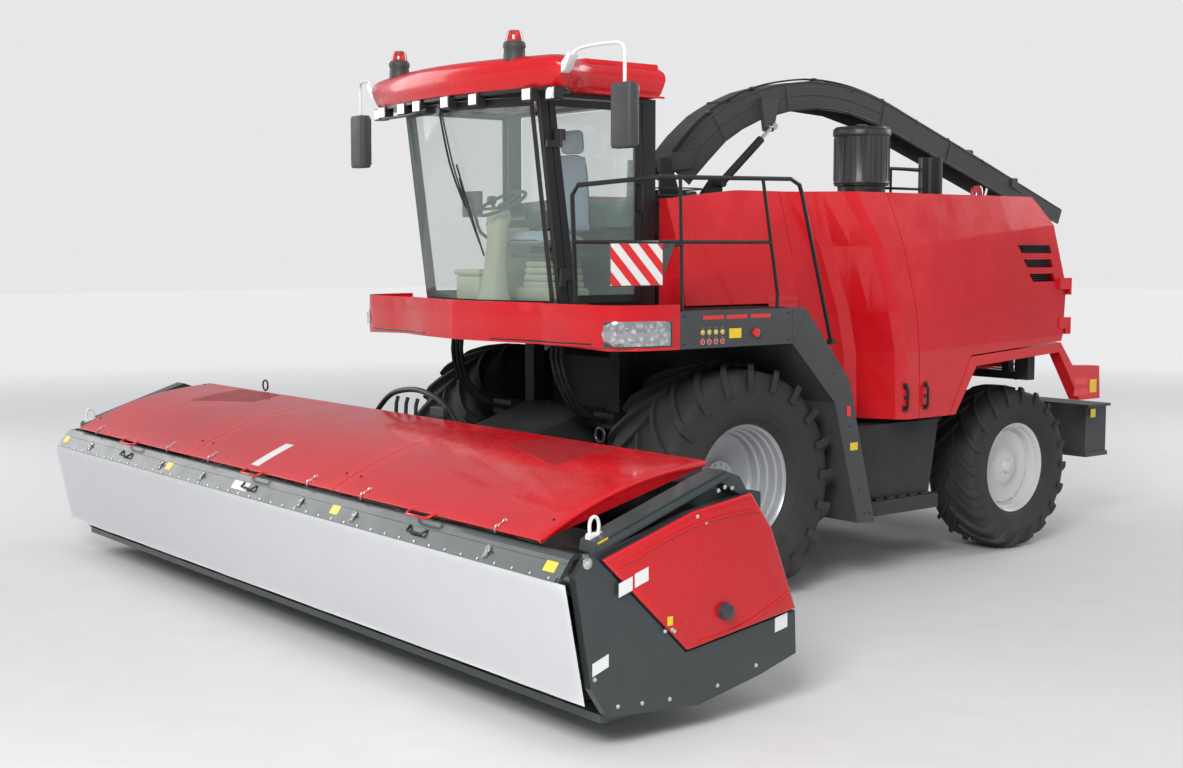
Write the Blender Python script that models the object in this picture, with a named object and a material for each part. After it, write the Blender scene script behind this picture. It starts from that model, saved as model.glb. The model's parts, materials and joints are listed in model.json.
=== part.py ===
"""Self-propelled forage harvester with a crop header, in metres.

+Z is up, -Y is the driving direction and +X is the machine's left.
Sizes are given in the machine frame: its origin is on the ground under the front axle.
Everything hangs on one empty, which moves that frame so that the world origin is on the
ground under the middle of the whole machine.
"""

import math

import bmesh
import bpy
from mathutils import Matrix, Vector

# ---------------------------------------------------------------- driving dimensions
GAP = 0.0003  # between pieces that touch
PIN_GAP = 0.0005  # between the faces of a joint
CLEAR = 0.008  # around a lid or a door
SHEET = 0.025  # thickness of body panels

WHEELBASE = 3.50
FRONT_RADIUS = 0.915
FRONT_WIDTH = 0.75
FRONT_OUTER = 1.70  # outer face of the front tyre
WHEEL_SIDES = 24
FRONT_RIM = 0.457
REAR_RADIUS = 0.725
REAR_WIDTH = 0.52
REAR_OUTER = 1.50
REAR_RIM = 0.40
HUB_FACE = 0.90  # where the front hub meets its axle flange
KINGPIN_X = 0.89
STEER_ARM = 0.23  # from the kingpin to the steering rod

RAIL_IN = 0.50  # chassis rails
RAIL_OUT = 0.62
RAIL_LOW = 1.02
RAIL_TOP = 1.24
RAIL_FRONT = -0.42
RAIL_REAR = 4.7997

DECK_TOP = 3.045
DECK_SHEET = 0.025
PLATFORM_TOP = 2.23
PLATFORM_LOW = 1.967
PLATFORM_OUTER = 1.75

CAB_HALF = 0.90
CAB_FLOOR = 2.26
CAB_TOP = 3.79
CAB_REAR = -0.28
PILLAR = 0.05
ROOF_TOP = 4.03
ROOF_WING = 1.26

HEADER_HALF = 3.68  # to the outside of the end plates
END_INNER = 3.625  # inside of the end plates
HOOD_HALF = 3.35
HOOD_SEAM = 1.10
HOOD_HINGE = (-1.975, 1.43)
HOOD_SHEET = 0.012
AUGER_CENTRE = (-2.07, 0.63)
AUGER_TUBE = 0.16
AUGER_FLIGHT = 0.275
FEEDER_HALF = 0.42
FEEDER_PIVOT = (-0.34, 1.32)
GUARD_PIVOT = (-3.116, 1.058)
CURTAIN_TOP = (-3.274, 0.950)
CURTAIN_LOW = (-3.146, 0.286)

LIFT_BASE = (-0.04, 0.58)  # chassis end of the lift cylinders
LIFT_EYE = (-1.10, 0.52)  # feeder end
LIFT_X = 0.60

SPOUT_AXIS_Y = 0.60
SPOUT_HALF = 0.165
SPOUT_DEPTH = 0.26
SPOUT_WALL = 0.012
SPOUT_PIVOT = (0.42, 3.36)
FLAP_PIVOT = (5.10, 3.34)
SPOUT_TIP_Y = 5.936
TURRET_LOW = DECK_TOP + GAP
RAM_BASE = (1.02, 3.22)  # turret end of the spout ram
RAM_EYE = (1.62, 3.72)
RAM_X = 0.235

HEADER_FRONT_Y = -3.286
ORIGIN_Y = (SPOUT_TIP_Y + HEADER_FRONT_Y) / 2

# ---------------------------------------------------------------- colours
# name: (red, green, blue), roughness, metallic
PAINTS = {
    "red_paint": ((0.62, 0.012, 0.018), 0.28, 0.0),
    "dark_paint": ((0.045, 0.055, 0.055), 0.45, 0.0),
    "grey_panel": ((0.075, 0.078, 0.080), 0.50, 0.0),
    "black_steel": ((0.015, 0.015, 0.016), 0.45, 0.1),
    "chassis_paint": ((0.030, 0.031, 0.033), 0.55, 0.1),
    "rim_paint": ((0.52, 0.53, 0.54), 0.35, 0.2),
    "rear_rim_paint": ((0.80, 0.80, 0.78), 0.35, 0.0),
    "tyre_rubber": ((0.022, 0.022, 0.023), 0.80, 0.0),
    "curtain_fabric": ((0.80, 0.79, 0.80), 0.70, 0.0),
    "cab_glass": ((0.55, 0.66, 0.62), 0.05, 0.0),
    "trim_plastic": ((0.42, 0.45, 0.34), 0.60, 0.0),
    "chrome_rod": ((0.75, 0.75, 0.76), 0.12, 1.0),
    "hose_rubber": ((0.016, 0.016, 0.017), 0.55, 0.0),
    "cast_metal": ((0.10, 0.10, 0.105), 0.60, 0.6),
}


# ---------------------------------------------------------------- modelling helpers
def clear_scene():
    for item in list(bpy.data.objects):
        bpy.data.objects.remove(item, do_unlink=True)


def make_materials():
    for name, (colour, roughness, metallic) in PAINTS.items():
        paint = bpy.data.materials.new(name)
        paint.use_nodes = True
        shader = paint.node_tree.nodes["Principled BSDF"]
        shader.inputs["Base Color"].default_value = (*colour, 1.0)
        shader.inputs["Roughness"].default_value = roughness
        shader.inputs["Metallic"].default_value = metallic
        if name == "cab_glass":
            shader.inputs["Alpha"].default_value = 0.35
        paint.diffuse_color = (*colour, 1.0)


def outward(solid):
    bmesh.ops.recalc_face_normals(solid, faces=solid.faces)
    return solid


def to_3d(point, axis, along):
    """Puts an outline point into space: its two numbers fill the axes other than axis."""
    values = list(point)
    values.insert(axis, along)
    return Vector(values)


def prism(outline, axis, low, high):
    """Extrudes a flat outline along an axis (0, 1 or 2) from low to high."""
    solid = bmesh.new()
    near = [solid.verts.new(to_3d(point, axis, low)) for point in outline]
    far = [solid.verts.new(to_3d(point, axis, high)) for point in outline]
    count = len(outline)
    solid.faces.new(near)
    solid.faces.new(far)
    for i in range(count):
        j = (i + 1) % count
        solid.faces.new((near[i], near[j], far[j], far[i]))
    return outward(solid)


def box(x0, x1, y0, y1, z0, z1):
    return prism([(y0, z0), (y1, z0), (y1, z1), (y0, z1)], 0, x0, x1)


def loft(rings):
    """Closed solid through rings of points, all with the same number of points."""
    solid = bmesh.new()
    rows = [[solid.verts.new(point) for point in ring] for ring in rings]
    count = len(rows[0])
    solid.faces.new(rows[0])
    solid.faces.new(rows[-1])
    for low, high in zip(rows, rows[1:]):
        for i in range(count):
            j = (i + 1) % count
            solid.faces.new((low[i], low[j], high[j], high[i]))
    return outward(solid)


def shell(outer, inner):
    """Closed plate between two point grids of the same shape."""
    solid = bmesh.new()
    top = [[solid.verts.new(point) for point in row] for row in outer]
    low = [[solid.verts.new(point) for point in row] for row in inner]
    rows = len(outer)
    columns = len(outer[0])
    for i in range(rows - 1):
        for j in range(columns - 1):
            solid.faces.new((top[i][j], top[i][j + 1], top[i + 1][j + 1], top[i + 1][j]))
            solid.faces.new((low[i][j], low[i + 1][j], low[i + 1][j + 1], low[i][j + 1]))
    for j in range(columns - 1):
        solid.faces.new((top[0][j], low[0][j], low[0][j + 1], top[0][j + 1]))
        solid.faces.new((top[-1][j], top[-1][j + 1], low[-1][j + 1], low[-1][j]))
    for i in range(rows - 1):
        solid.faces.new((top[i][0], top[i + 1][0], low[i + 1][0], low[i][0]))
        solid.faces.new((top[i][-1], low[i][-1], low[i + 1][-1], top[i + 1][-1]))
    return outward(solid)


def turned(profile, centre, axis, sides, ring=False):
    """Turns (along, radius) points about an axis through centre.

    With ring False the profile starts and ends on the axis. With ring True it is closed.
    """
    solid = bmesh.new()
    loops = []
    for along, radius in profile:
        if radius == 0:
            loops.append([solid.verts.new(to_3d((0, 0), axis, along))])
            continue
        loop = []
        for step in range(sides):
            turn = 2 * math.pi * step / sides
            flat = (radius * math.cos(turn), radius * math.sin(turn))
            loop.append(solid.verts.new(to_3d(flat, axis, along)))
        loops.append(loop)
    pairs = list(zip(loops, loops[1:]))
    if ring:
        pairs.append((loops[-1], loops[0]))
    for first, second in pairs:
        for i in range(sides):
            j = (i + 1) % sides
            corners = [first[i % len(first)], first[j % len(first)]]
            corners += [second[j % len(second)], second[i % len(second)]]
            corners = list(dict.fromkeys(corners))
            if len(corners) > 2:
                solid.faces.new(corners)
    bmesh.ops.translate(solid, verts=solid.verts, vec=Vector(centre))
    return outward(solid)


def rod(start, end, radius, sides=12):
    """Solid round bar between two points."""
    return tube([start, end], radius, sides)


def tube(points, radius, sides=8):
    """Solid round bar along a list of points."""
    path = [Vector(point) for point in points]
    rings = []
    side = None
    for i, point in enumerate(path):
        before = path[max(i - 1, 0)]
        after = path[min(i + 1, len(path) - 1)]
        heading = (after - before).normalized()
        if side is None:
            guide = Vector((1, 0, 0)) if abs(heading.x) < 0.8 else Vector((0, 0, 1))
            side = heading.cross(guide).normalized()
        side = (side - heading * side.dot(heading)).normalized()
        up = heading.cross(side)
        stretch = 1.0
        if 0 < i < len(path) - 1:
            bend = (path[i] - before).angle(after - path[i])
            stretch = 1 / max(math.cos(bend / 2), 0.5)
        ring = []
        for step in range(sides):
            turn = 2 * math.pi * step / sides
            ring.append(point + (side * math.cos(turn) + up * math.sin(turn)) * radius * stretch)
        rings.append(ring)
    return loft(rings)


def smooth_path(points, steps=4):
    """Catmull-Rom curve through the given points."""
    path = [Vector(point) for point in points]
    path = [path[0] * 2 - path[1], *path, path[-1] * 2 - path[-2]]
    result = []
    for a, b, c, d in zip(path, path[1:], path[2:], path[3:]):
        for step in range(steps):
            t = step / steps
            bend = (2 * a - 5 * b + 4 * c - d) * t * t + (3 * b - a - 3 * c + d) * t * t * t
            result.append(b + ((c - a) * t + bend) / 2)
    result.append(path[-2])
    return result


def merged(solids):
    """Puts several solids into one mesh without joining their surfaces."""
    total = bmesh.new()
    for solid in solids:
        mesh = bpy.data.meshes.new("piece")
        solid.to_mesh(mesh)
        total.from_mesh(mesh)
        bpy.data.meshes.remove(mesh)
    return total


def combine(base, others, operation):
    """One closed body out of several, by an exact Boolean."""
    helpers = []
    for solid in (base, merged(others)):
        mesh = bpy.data.meshes.new("helper")
        solid.to_mesh(mesh)
        helper = bpy.data.objects.new("helper", mesh)
        bpy.context.scene.collection.objects.link(helper)
        helpers.append(helper)
    target, tool = helpers
    modifier = target.modifiers.new("combine", "BOOLEAN")
    modifier.operation = operation
    modifier.solver = "EXACT"
    modifier.use_self = True
    modifier.object = tool
    graph = bpy.context.evaluated_depsgraph_get()
    mesh = bpy.data.meshes.new_from_object(target.evaluated_get(graph))
    result = bmesh.new()
    result.from_mesh(mesh)
    for helper in helpers:
        old = helper.data
        bpy.data.objects.remove(helper, do_unlink=True)
        bpy.data.meshes.remove(old)
    bpy.data.meshes.remove(mesh)
    bmesh.ops.remove_doubles(result, verts=result.verts, dist=0.00002)
    bmesh.ops.dissolve_degenerate(result, edges=result.edges, dist=0.00002)
    flat = math.radians(0.05)
    bmesh.ops.dissolve_limit(result, angle_limit=flat, verts=result.verts, edges=result.edges)
    return result


def union(solids):
    return solids[0] if len(solids) == 1 else combine(solids[0], solids[1:], "UNION")


def cut(solid, cutters):
    return combine(solid, cutters, "DIFFERENCE")


def place(name, solid, paint, pivot=(0.0, 0.0, 0.0), soft_angle=30):
    """Makes the object, with its origin on its joint axis."""
    pivot = Vector(pivot)
    bmesh.ops.translate(solid, verts=solid.verts, vec=-pivot)
    mesh = bpy.data.meshes.new(name)
    solid.to_mesh(mesh)
    solid.free()
    mesh.shade_smooth()
    mesh.set_sharp_from_angle(angle=math.radians(soft_angle))
    mesh.materials.append(bpy.data.materials[paint])
    item = bpy.data.objects.new(name, mesh)
    item.location = pivot
    item.parent = bpy.data.objects["machine"]
    bpy.context.scene.collection.objects.link(item)
    return item


def mirrored(solid):
    """The same shape on the other side of the middle plane."""
    bmesh.ops.scale(solid, verts=solid.verts, vec=Vector((-1, 1, 1)))
    return outward(solid)


def on_side(side, solid):
    """side is 1 for the left and -1 for the right."""
    return solid if side > 0 else mirrored(solid)


SIDES = (("left", 1), ("right", -1))


def mix(a, b, t):
    return a + (b - a) * t


def ease(t):
    t = min(max(t, 0.0), 1.0)
    return t * t * (3 - 2 * t)


# ---------------------------------------------------------------- wheels and axles
def tyre_profile(radius, width, bead):
    """Closed section of a tyre as (along, radius), centred on its middle."""
    wall = radius - bead
    half = [
        (0.36, 0.0),
        (0.46, 0.12),
        (0.50, 0.45),
        (0.485, 0.80),
        (0.44, 0.95),
        (0.34, 1.0),
    ]
    left = [(-along * width, bead + share * wall) for along, share in half]
    right = [(along * width, bead + share * wall) for along, share in reversed(half)]
    return left + right


def rim_profile(width, bead, dish, hub_radius, hub_in, hub_out):
    """Section of a dished rim with its hub, from the axis and back to it."""
    lip = 0.37 * width
    barrel = bead - GAP
    throat = bead - 0.035
    return [
        (hub_out, 0),
        (hub_out, hub_radius),
        (dish + 0.02, hub_radius + 0.015),
        (dish, throat - 0.07),
        (dish + 0.05, throat),
        (lip, throat + 0.01),
        (lip, barrel),
        (-lip, barrel),
        (-lip, throat + 0.01),
        (dish + 0.02, throat - 0.015),
        (dish - 0.03, throat - 0.08),
        (dish - 0.02, hub_radius),
        (hub_in, hub_radius),
        (hub_in, 0),
    ]


def wheel(name, side, centre_x, centre_y, radius, width, bead, rim_paint, section):
    centre = (0, centre_y, radius)
    tyre = turned(tyre_profile(radius, width, bead), centre, 0, WHEEL_SIDES, ring=True)
    rim = turned(section, centre, 0, WHEEL_SIDES)
    for solid in (tyre, rim):
        bmesh.ops.translate(solid, verts=solid.verts, vec=Vector((centre_x, 0, 0)))
    pivot = (side * centre_x, centre_y, radius)
    place(f"{name}_tyre", on_side(side, tyre), "tyre_rubber", pivot)
    place(f"{name}_rim", on_side(side, rim), rim_paint, pivot)


def make_wheels():
    front_x = FRONT_OUTER - FRONT_WIDTH / 2
    rear_x = REAR_OUTER - REAR_WIDTH / 2
    front = rim_profile(FRONT_WIDTH, FRONT_RIM, -0.06, 0.15, HUB_FACE - front_x, 0.02)
    spindle_face = KINGPIN_X + 0.13
    rear = rim_profile(REAR_WIDTH, REAR_RIM, 0.06, 0.11, spindle_face - rear_x, 0.12)
    for word, side in SIDES:
        sizes = (FRONT_RADIUS, FRONT_WIDTH, FRONT_RIM)
        wheel(f"front_{word}", side, front_x, 0.0, *sizes, "rim_paint", front)
        sizes = (REAR_RADIUS, REAR_WIDTH, REAR_RIM)
        wheel(f"rear_{word}", side, rear_x, WHEELBASE, *sizes, "rear_rim_paint", rear)


def make_front_axle():
    beam = box(-0.78, 0.78, -0.15, 0.15, FRONT_RADIUS - 0.13, RAIL_LOW - GAP)
    pieces = [beam]
    flange = HUB_FACE - PIN_GAP
    for _, side in SIDES:
        final_drive = rod((RAIL_OUT + 0.01, 0, FRONT_RADIUS), (flange, 0, FRONT_RADIUS), 0.21, 20)
        pieces.append(on_side(side, final_drive))
        inner = LIFT_X + 0.045
        ear = [(-0.14, 0.80), (0.12, 0.80), (0.0, 0.54), (-0.08, 0.54)]
        pieces.append(on_side(side, prism(ear, 0, inner, inner + 0.04)))
    place("front_axle", union(pieces), "cast_metal")


REAR_FORK = 0.16  # half height of the kingpin fork


def make_rear_axle():
    height = REAR_RADIUS
    y = WHEELBASE
    beam = box(-0.76, 0.76, y - 0.09, y + 0.09, height - 0.11, height + 0.11)
    saddle = box(-0.16, 0.16, y - 0.12, y + 0.12, height, RAIL_LOW - GAP)
    pieces = [beam, saddle]
    for _, side in SIDES:
        for low in (height + REAR_FORK, height - REAR_FORK - 0.04):
            ear = box(0.70, KINGPIN_X + 0.07, y - 0.08, y + 0.08, low, low + 0.04)
            pieces.append(on_side(side, ear))
        web = box(0.70, 0.78, y - 0.08, y + 0.08, height - REAR_FORK - 0.02, height + REAR_FORK + 0.02)
        pieces.append(on_side(side, web))
    bore = 0.0205
    ram = [(-0.32, bore), (-0.32, 0.045), (0.32, 0.045), (0.32, bore)]
    rod_y = y - STEER_ARM
    ram_z = height - 0.02
    pieces.append(turned(ram, (0, rod_y, ram_z), 0, 16, ring=True))
    for _, side in SIDES:
        strap = box(0.20, 0.26, rod_y + 0.035, y - 0.05, ram_z - 0.03, ram_z + 0.03)
        pieces.append(on_side(side, strap))
    place("rear_axle", union(pieces), "cast_metal")
    bar = rod((-0.72, rod_y, ram_z), (0.72, rod_y, ram_z), bore - PIN_GAP, 16)
    ends = [bar]
    for _, side in SIDES:
        ends.append(on_side(side, box(0.70, 0.88, rod_y - 0.03, rod_y + 0.03, ram_z - 0.03, ram_z + 0.03)))
    place("steering_rod", union(ends), "chrome_rod")


def make_knuckles():
    height = REAR_RADIUS
    y = WHEELBASE
    tall = REAR_FORK - PIN_GAP
    arm_top = height - 0.02 - 0.03 - PIN_GAP
    for word, side in SIDES:
        post = rod((KINGPIN_X, y, height - tall), (KINGPIN_X, y, height + tall), 0.07, 20)
        spindle = rod((KINGPIN_X, y, height), (KINGPIN_X + 0.13 - PIN_GAP, y, height), 0.065, 16)
        arm = box(KINGPIN_X - 0.05, KINGPIN_X - 0.0, y - STEER_ARM - 0.03, y, arm_top - 0.03, arm_top)
        solid = union([post, spindle, arm])
        pivot = (side * KINGPIN_X, y, height)
        place(f"rear_{word}_knuckle", on_side(side, solid), "cast_metal", pivot)


# ---------------------------------------------------------------- chassis
TANK_OUTER = 1.46
STEP_OUTER = 1.52


def make_chassis():
    pieces = []
    for _, side in SIDES:
        pieces.append(on_side(side, box(RAIL_IN, RAIL_OUT, RAIL_FRONT, RAIL_REAR, RAIL_LOW, RAIL_TOP)))
        ear = [(-0.42, 1.10), (-0.24, 1.10), (-0.26, 1.40), (-0.40, 1.40)]
        pieces.append(on_side(side, prism(ear, 0, RAIL_IN, RAIL_IN + 0.05)))
        upright = box(RAIL_IN, RAIL_OUT, -0.40, -0.29, RAIL_TOP - 0.05, 2.12)
        pieces.append(on_side(side, upright))
        tank = [(1.36, RAIL_TOP), (1.48, 0.60), (2.28, 0.60), (2.40, RAIL_TOP)]
        pieces.append(on_side(side, prism(tank, 0, RAIL_OUT - 0.02, TANK_OUTER)))
        pieces.append(on_side(side, box(1.00, STEP_OUTER, 1.42, 2.34, 0.50, 0.62)))
        post = box(RAIL_IN, RAIL_OUT, 3.62, 3.72, RAIL_TOP - 0.05, 1.4997)
        pieces.append(on_side(side, post))
    for low, high in ((1.30, 1.45), (2.25, 2.40), (3.38, 3.62), (4.55, RAIL_REAR)):
        pieces.append(box(-RAIL_IN - 0.02, RAIL_IN + 0.02, low, high, RAIL_LOW, RAIL_TOP - 0.03))
    cab_base = [(0.88, -0.30), (0.88, -1.10), (0.5, -1.22), (-0.5, -1.22), (-0.88, -1.10), (-0.88, -0.30)]
    pieces.append(prism(cab_base, 2, 2.08, CAB_FLOOR - 0.03 - GAP))
    place("chassis_frame", union(pieces), "chassis_paint")


def make_crop_processor():
    outline = [
        (-0.20, 1.10),
        (0.60, 1.10),
        (0.98, 1.45),
        (0.98, 2.00),
        (0.86, 2.35),
        (0.86, TURRET_LOW - 0.04),
        (0.34, TURRET_LOW - 0.04),
        (0.34, 2.30),
        (0.05, 1.95),
        (-0.20, 1.80),
    ]
    place("crop_processor", prism(outline, 0, -RAIL_IN + GAP, RAIL_IN - GAP), "chassis_paint")


def make_engine():
    low = box(-0.55, 0.55, 2.42, 3.32, RAIL_TOP + GAP, 1.60)
    top = box(-0.80, 0.80, 2.42, 3.32, 1.55, 2.55)
    place("engine_block", union([low, top]), "cast_metal")


def make_counterweight():
    front = RAIL_REAR + GAP
    main = [(front, 0.72), (front, 1.17), (5.13, 1.17), (5.13, 0.72)]
    body = prism(main, 0, -1.27, 1.27)
    lid = box(-1.30, 1.30, front, 5.16, 1.165, 1.19)
    base = box(-1.28, 1.28, front, 5.15, 0.69, 0.73)
    notch = box(-0.16, 0.16, 5.02, 5.30, 0.40, 1.05)
    hitch = box(-0.05, 0.05, 4.95, 5.12, 0.80, 0.86)
    place("counterweight", union([cut(union([body, lid, base]), [notch]), hitch]), "grey_panel")


# ---------------------------------------------------------------- body sides
# Levels run from the lower edge to the top: height at the front, height at the rear,
# half width before the flare, half width after it, flare start, flare end, seam and rear end.
LEVELS = (
    (1.285, 1.285, 1.22, 1.62, 1.50, 1.82, 1.960, 3.88),
    (1.830, 1.900, 1.22, 1.62, 1.48, 1.80, 1.950, 3.90),
    (2.160, 2.330, 1.20, 1.60, 1.42, 1.74, 1.930, 3.96),
    (2.690, 2.880, 1.13, 1.49, 1.28, 1.64, 1.890, 3.91),
    (3.130, 3.130, 0.99, 1.35, 1.02, 1.47, 1.830, 3.77),
)
LEVEL_FRONT_Y = 1.90
LEVEL_REAR_Y = 3.90
ARCH = ((2.340, 1.285), (2.620, 1.775), (3.300, 1.815), (3.880, 1.850))  # lower edge of the rear doors
ARCH_GAP = 0.013
DOOR_FRONT = 0.95
PANEL_FRONT = -0.25
DOOR_HINGE_OUT = 0.014  # how far the hinge line stands off the panel
REAR_HINGE_Y = 3.978
BARREL = 0.011
FENDER_SEAT = 1.755  # height at which the rear fender rests on the frame
CROSS_TOP = 1.57  # top of the rear cross beam


def level_point(level, y):
    """Left-hand surface point of one level at one station."""
    z_front, z_rear, x_front, x_rear, flare_start, flare_end, _, _ = LEVELS[level]
    rise = min(max((y - LEVEL_FRONT_Y) / (LEVEL_REAR_Y - LEVEL_FRONT_Y), 0.0), 1.0)
    flare = ease((y - flare_start) / (flare_end - flare_start))
    return Vector((mix(x_front, x_rear, flare), y, mix(z_front, z_rear, rise)))


def panel_grid(columns):
    """Surface grid; each column gives its station and lower height for every level."""
    grid = []
    for stations, low in columns:
        row = [level_point(level, y) for level, y in enumerate(stations)]
        if low is not None:
            row[0].z = low
            top = row[1]
            if low > top.z - 0.02:
                row[0].x = top.x
        grid.append(row)
    return grid


def side_skin(grid):
    inner = [[point - Vector((SHEET, 0, 0)) for point in row] for row in grid]
    return shell(grid, inner)


def flare_columns(shares):
    """Stations across the flare for every level."""
    columns = []
    for share in shares:
        columns.append(([mix(level[4], level[5], share) for level in LEVELS], None))
    return columns


def front_panel():
    """Fixed panel beside and behind the cab, with its front return."""
    bottom = PLATFORM_TOP + 0.015
    columns = [
        ([PANEL_FRONT] * 5, bottom),
        ([0.44] * 5, bottom),
        ([0.52] * 5, bottom),
        ([DOOR_FRONT - 0.10] * 5, bottom),
        ([DOOR_FRONT - CLEAR] * 5, bottom),
    ]
    grid = panel_grid(columns)
    for row in grid:
        share = (row[0].y - PANEL_FRONT) / (DOOR_FRONT - PANEL_FRONT)
        row[0].z = bottom
        row[1] = row[0].lerp(row[3], 0.3)
        row[2] = row[0].lerp(row[3], 0.6)
        row[4].z = mix(3.05, LEVELS[4][0], ease(share * 1.5))
    skin = side_skin(grid)
    corner = grid[0]
    outline = [(point.x - 0.003, point.z) for point in corner]
    outline += [(CAB_HALF + 0.012, corner[-1].z), (CAB_HALF + 0.012, corner[0].z)]
    wall = prism(outline, 1, PANEL_FRONT, PANEL_FRONT + SHEET)
    lower = [
        (0.60, bottom + 0.05),
        (DOOR_FRONT - CLEAR, bottom + 0.05),
        (DOOR_FRONT - CLEAR, 1.36),
        (0.90, 1.50),
    ]
    apron = prism(lower, 0, LEVELS[0][2] - SHEET, LEVELS[0][2] - 0.004)
    return union([skin, wall, apron])


def hinge_barrel(x, y, z, size=0.10):
    return rod((x, y, z), (x, y, z + size), BARREL, 10)


HINGE_LEVELS = (1.45, 2.02)
REAR_HINGE_LEVELS = (1.96, 2.31)
HINGE_SIZE = 0.10


def front_hinge_x():
    return LEVELS[0][2] + DOOR_HINGE_OUT


def rear_hinge_x():
    return LEVELS[1][3] + DOOR_HINGE_OUT


def engine_door_front():
    seam = [level[6] - CLEAR / 2 for level in LEVELS]
    columns = [([DOOR_FRONT] * 5, None)]
    columns += flare_columns((0.0, 0.25, 0.5, 0.75, 1.0))
    columns.append((seam, None))
    pieces = [side_skin(panel_grid(columns))]
    x = front_hinge_x()
    for z in HINGE_LEVELS:
        pieces.append(hinge_barrel(x, DOOR_FRONT, z, HINGE_SIZE))
        pieces.append(box(x - 0.035, x - 0.001, DOOR_FRONT, DOOR_FRONT + 0.06, z, z + HINGE_SIZE))
    return union(pieces)


def engine_door_rear():
    front = [level[6] + CLEAR / 2 for level in LEVELS]
    rear = [level[7] for level in LEVELS]
    columns = [
        (front, LEVELS[0][0]),
        ([ARCH[0][0], 2.36, 2.36, 2.36, 2.36], LEVELS[0][0]),
        ([ARCH[1][0]] * 5, ARCH[1][1]),
        ([ARCH[2][0]] * 5, ARCH[2][1]),
        (rear, ARCH[3][1]),
    ]
    pieces = [side_skin(panel_grid(columns))]
    x = rear_hinge_x()
    for z in REAR_HINGE_LEVELS:
        pieces.append(hinge_barrel(x, REAR_HINGE_Y, z, HINGE_SIZE))
        tab = [
            (1.57, 3.84),
            (1.625, 3.84),
            (x + 0.004, REAR_HINGE_Y - 0.004),
            (x - 0.004, REAR_HINGE_Y - 0.004),
            (1.57, 3.89),
        ]
        pieces.append(prism(tab, 2, z, z + HINGE_SIZE))
    slots = []
    for slot in range(3):
        low = 2.63 - 0.125 * slot
        start = 3.40 + 0.05 * slot
        outline = [(start, low), (3.82, low), (3.80, low + 0.07), (start - 0.04, low + 0.07)]
        slots.append(prism(outline, 0, 1.2, 1.9))
    return cut(union(pieces), slots)


def make_body_sides():
    for word, side in SIDES:
        place(f"front_panel_{word}", on_side(side, front_panel()), "red_paint")
        pivot = (side * front_hinge_x(), DOOR_FRONT, 0)
        place(f"engine_door_front_{word}", on_side(side, engine_door_front()), "red_paint", pivot)
        pivot = (side * rear_hinge_x(), REAR_HINGE_Y, 0)
        place(f"engine_door_rear_{word}", on_side(side, engine_door_rear()), "red_paint", pivot)


def make_rear_fenders():
    outline = [
        (ARCH[0][0] + ARCH_GAP, 1.285),
        (ARCH[1][0] + ARCH_GAP / 2, ARCH[1][1] - ARCH_GAP),
        (ARCH[2][0], ARCH[2][1] - ARCH_GAP),
        (ARCH[3][0], ARCH[3][1] - ARCH_GAP),
        (4.07, 1.62),
        (4.48, 1.60),
        (4.50, 1.30),
        (4.19, 1.30),
        (3.86, 1.75),
        (2.70, 1.68),
        (2.43, 1.285),
    ]
    for word, side in SIDES:
        arch = prism(outline, 0, 1.50, 1.615)
        flange = box(1.42, 1.505, 3.60, 3.80, FENDER_SEAT, 1.79)
        place(f"rear_fender_{word}", on_side(side, union([arch, flange])), "red_paint")


def make_body_frame():
    inner = SHEET + 0.012
    deck_front = PANEL_FRONT + SHEET + GAP
    top = LEVELS[4]
    deck = [
        (CAB_HALF, deck_front),
        (top[2] - inner, deck_front),
        (top[2] - inner, top[4] + 0.08),
        (top[3] - inner, top[5] + 0.09),
        (top[3] - inner, 3.74),
    ]
    deck += [(-x, y) for x, y in reversed(deck)]
    plate = prism(deck, 2, DECK_TOP - DECK_SHEET, DECK_TOP)
    hole = rod((0, SPOUT_AXIS_Y, DECK_TOP - 0.1), (0, SPOUT_AXIS_Y, DECK_TOP + 0.1), 0.33, 20)
    pieces = [cut(plate, [hole])]
    pieces.append(box(-1.15, 1.15, 2.30, 2.38, RAIL_TOP + GAP, RAIL_TOP + 0.08))
    pieces.append(box(-1.40, 1.40, 3.62, 3.72, 1.50, CROSS_TOP))
    pieces.append(box(-1.12, 1.12, 1.02, 1.10, RAIL_TOP + GAP, RAIL_TOP + 0.08))
    for _, side in SIDES:
        pieces.append(on_side(side, box(1.06, 1.12, 1.02, 1.10, RAIL_TOP + 0.01, 2.5)))
        pieces.append(on_side(side, box(0.86, 0.92, 1.02, 1.10, 2.44, DECK_TOP - 0.01)))
        pieces.append(on_side(side, box(0.86, 1.12, 1.02, 1.10, 2.44, 2.50)))
        pieces.append(on_side(side, box(1.08, 1.15, 2.30, 2.38, RAIL_TOP + 0.01, DECK_TOP - 0.01)))
        pieces.append(on_side(side, box(1.18, 1.25, 3.62, 3.70, 1.52, DECK_TOP - 0.01)))
        pieces.append(on_side(side, box(1.33, 1.46, 3.62, 3.72, 1.50, FENDER_SEAT - GAP)))
        pieces.append(on_side(side, box(0.80, 0.88, -0.20, -0.12, 2.20, DECK_TOP - 0.01)))
        pieces.append(on_side(side, box(0.47, 0.88, -0.20, -0.12, 2.20, 2.28)))
        lug_x = front_hinge_x()
        for z in HINGE_LEVELS:
            low = z - 0.05
            high = z - PIN_GAP
            barrel = rod((lug_x, DOOR_FRONT, low), (lug_x, DOOR_FRONT, high), BARREL, 10)
            arm = box(1.08, lug_x, DOOR_FRONT - 0.006, DOOR_FRONT - 0.002, low, high)
            brace = box(1.08, 1.11, DOOR_FRONT - 0.006, 1.04, low, high)
            pieces += [on_side(side, barrel), on_side(side, arm), on_side(side, brace)]
    place("body_frame", union(pieces), "chassis_paint")


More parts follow.
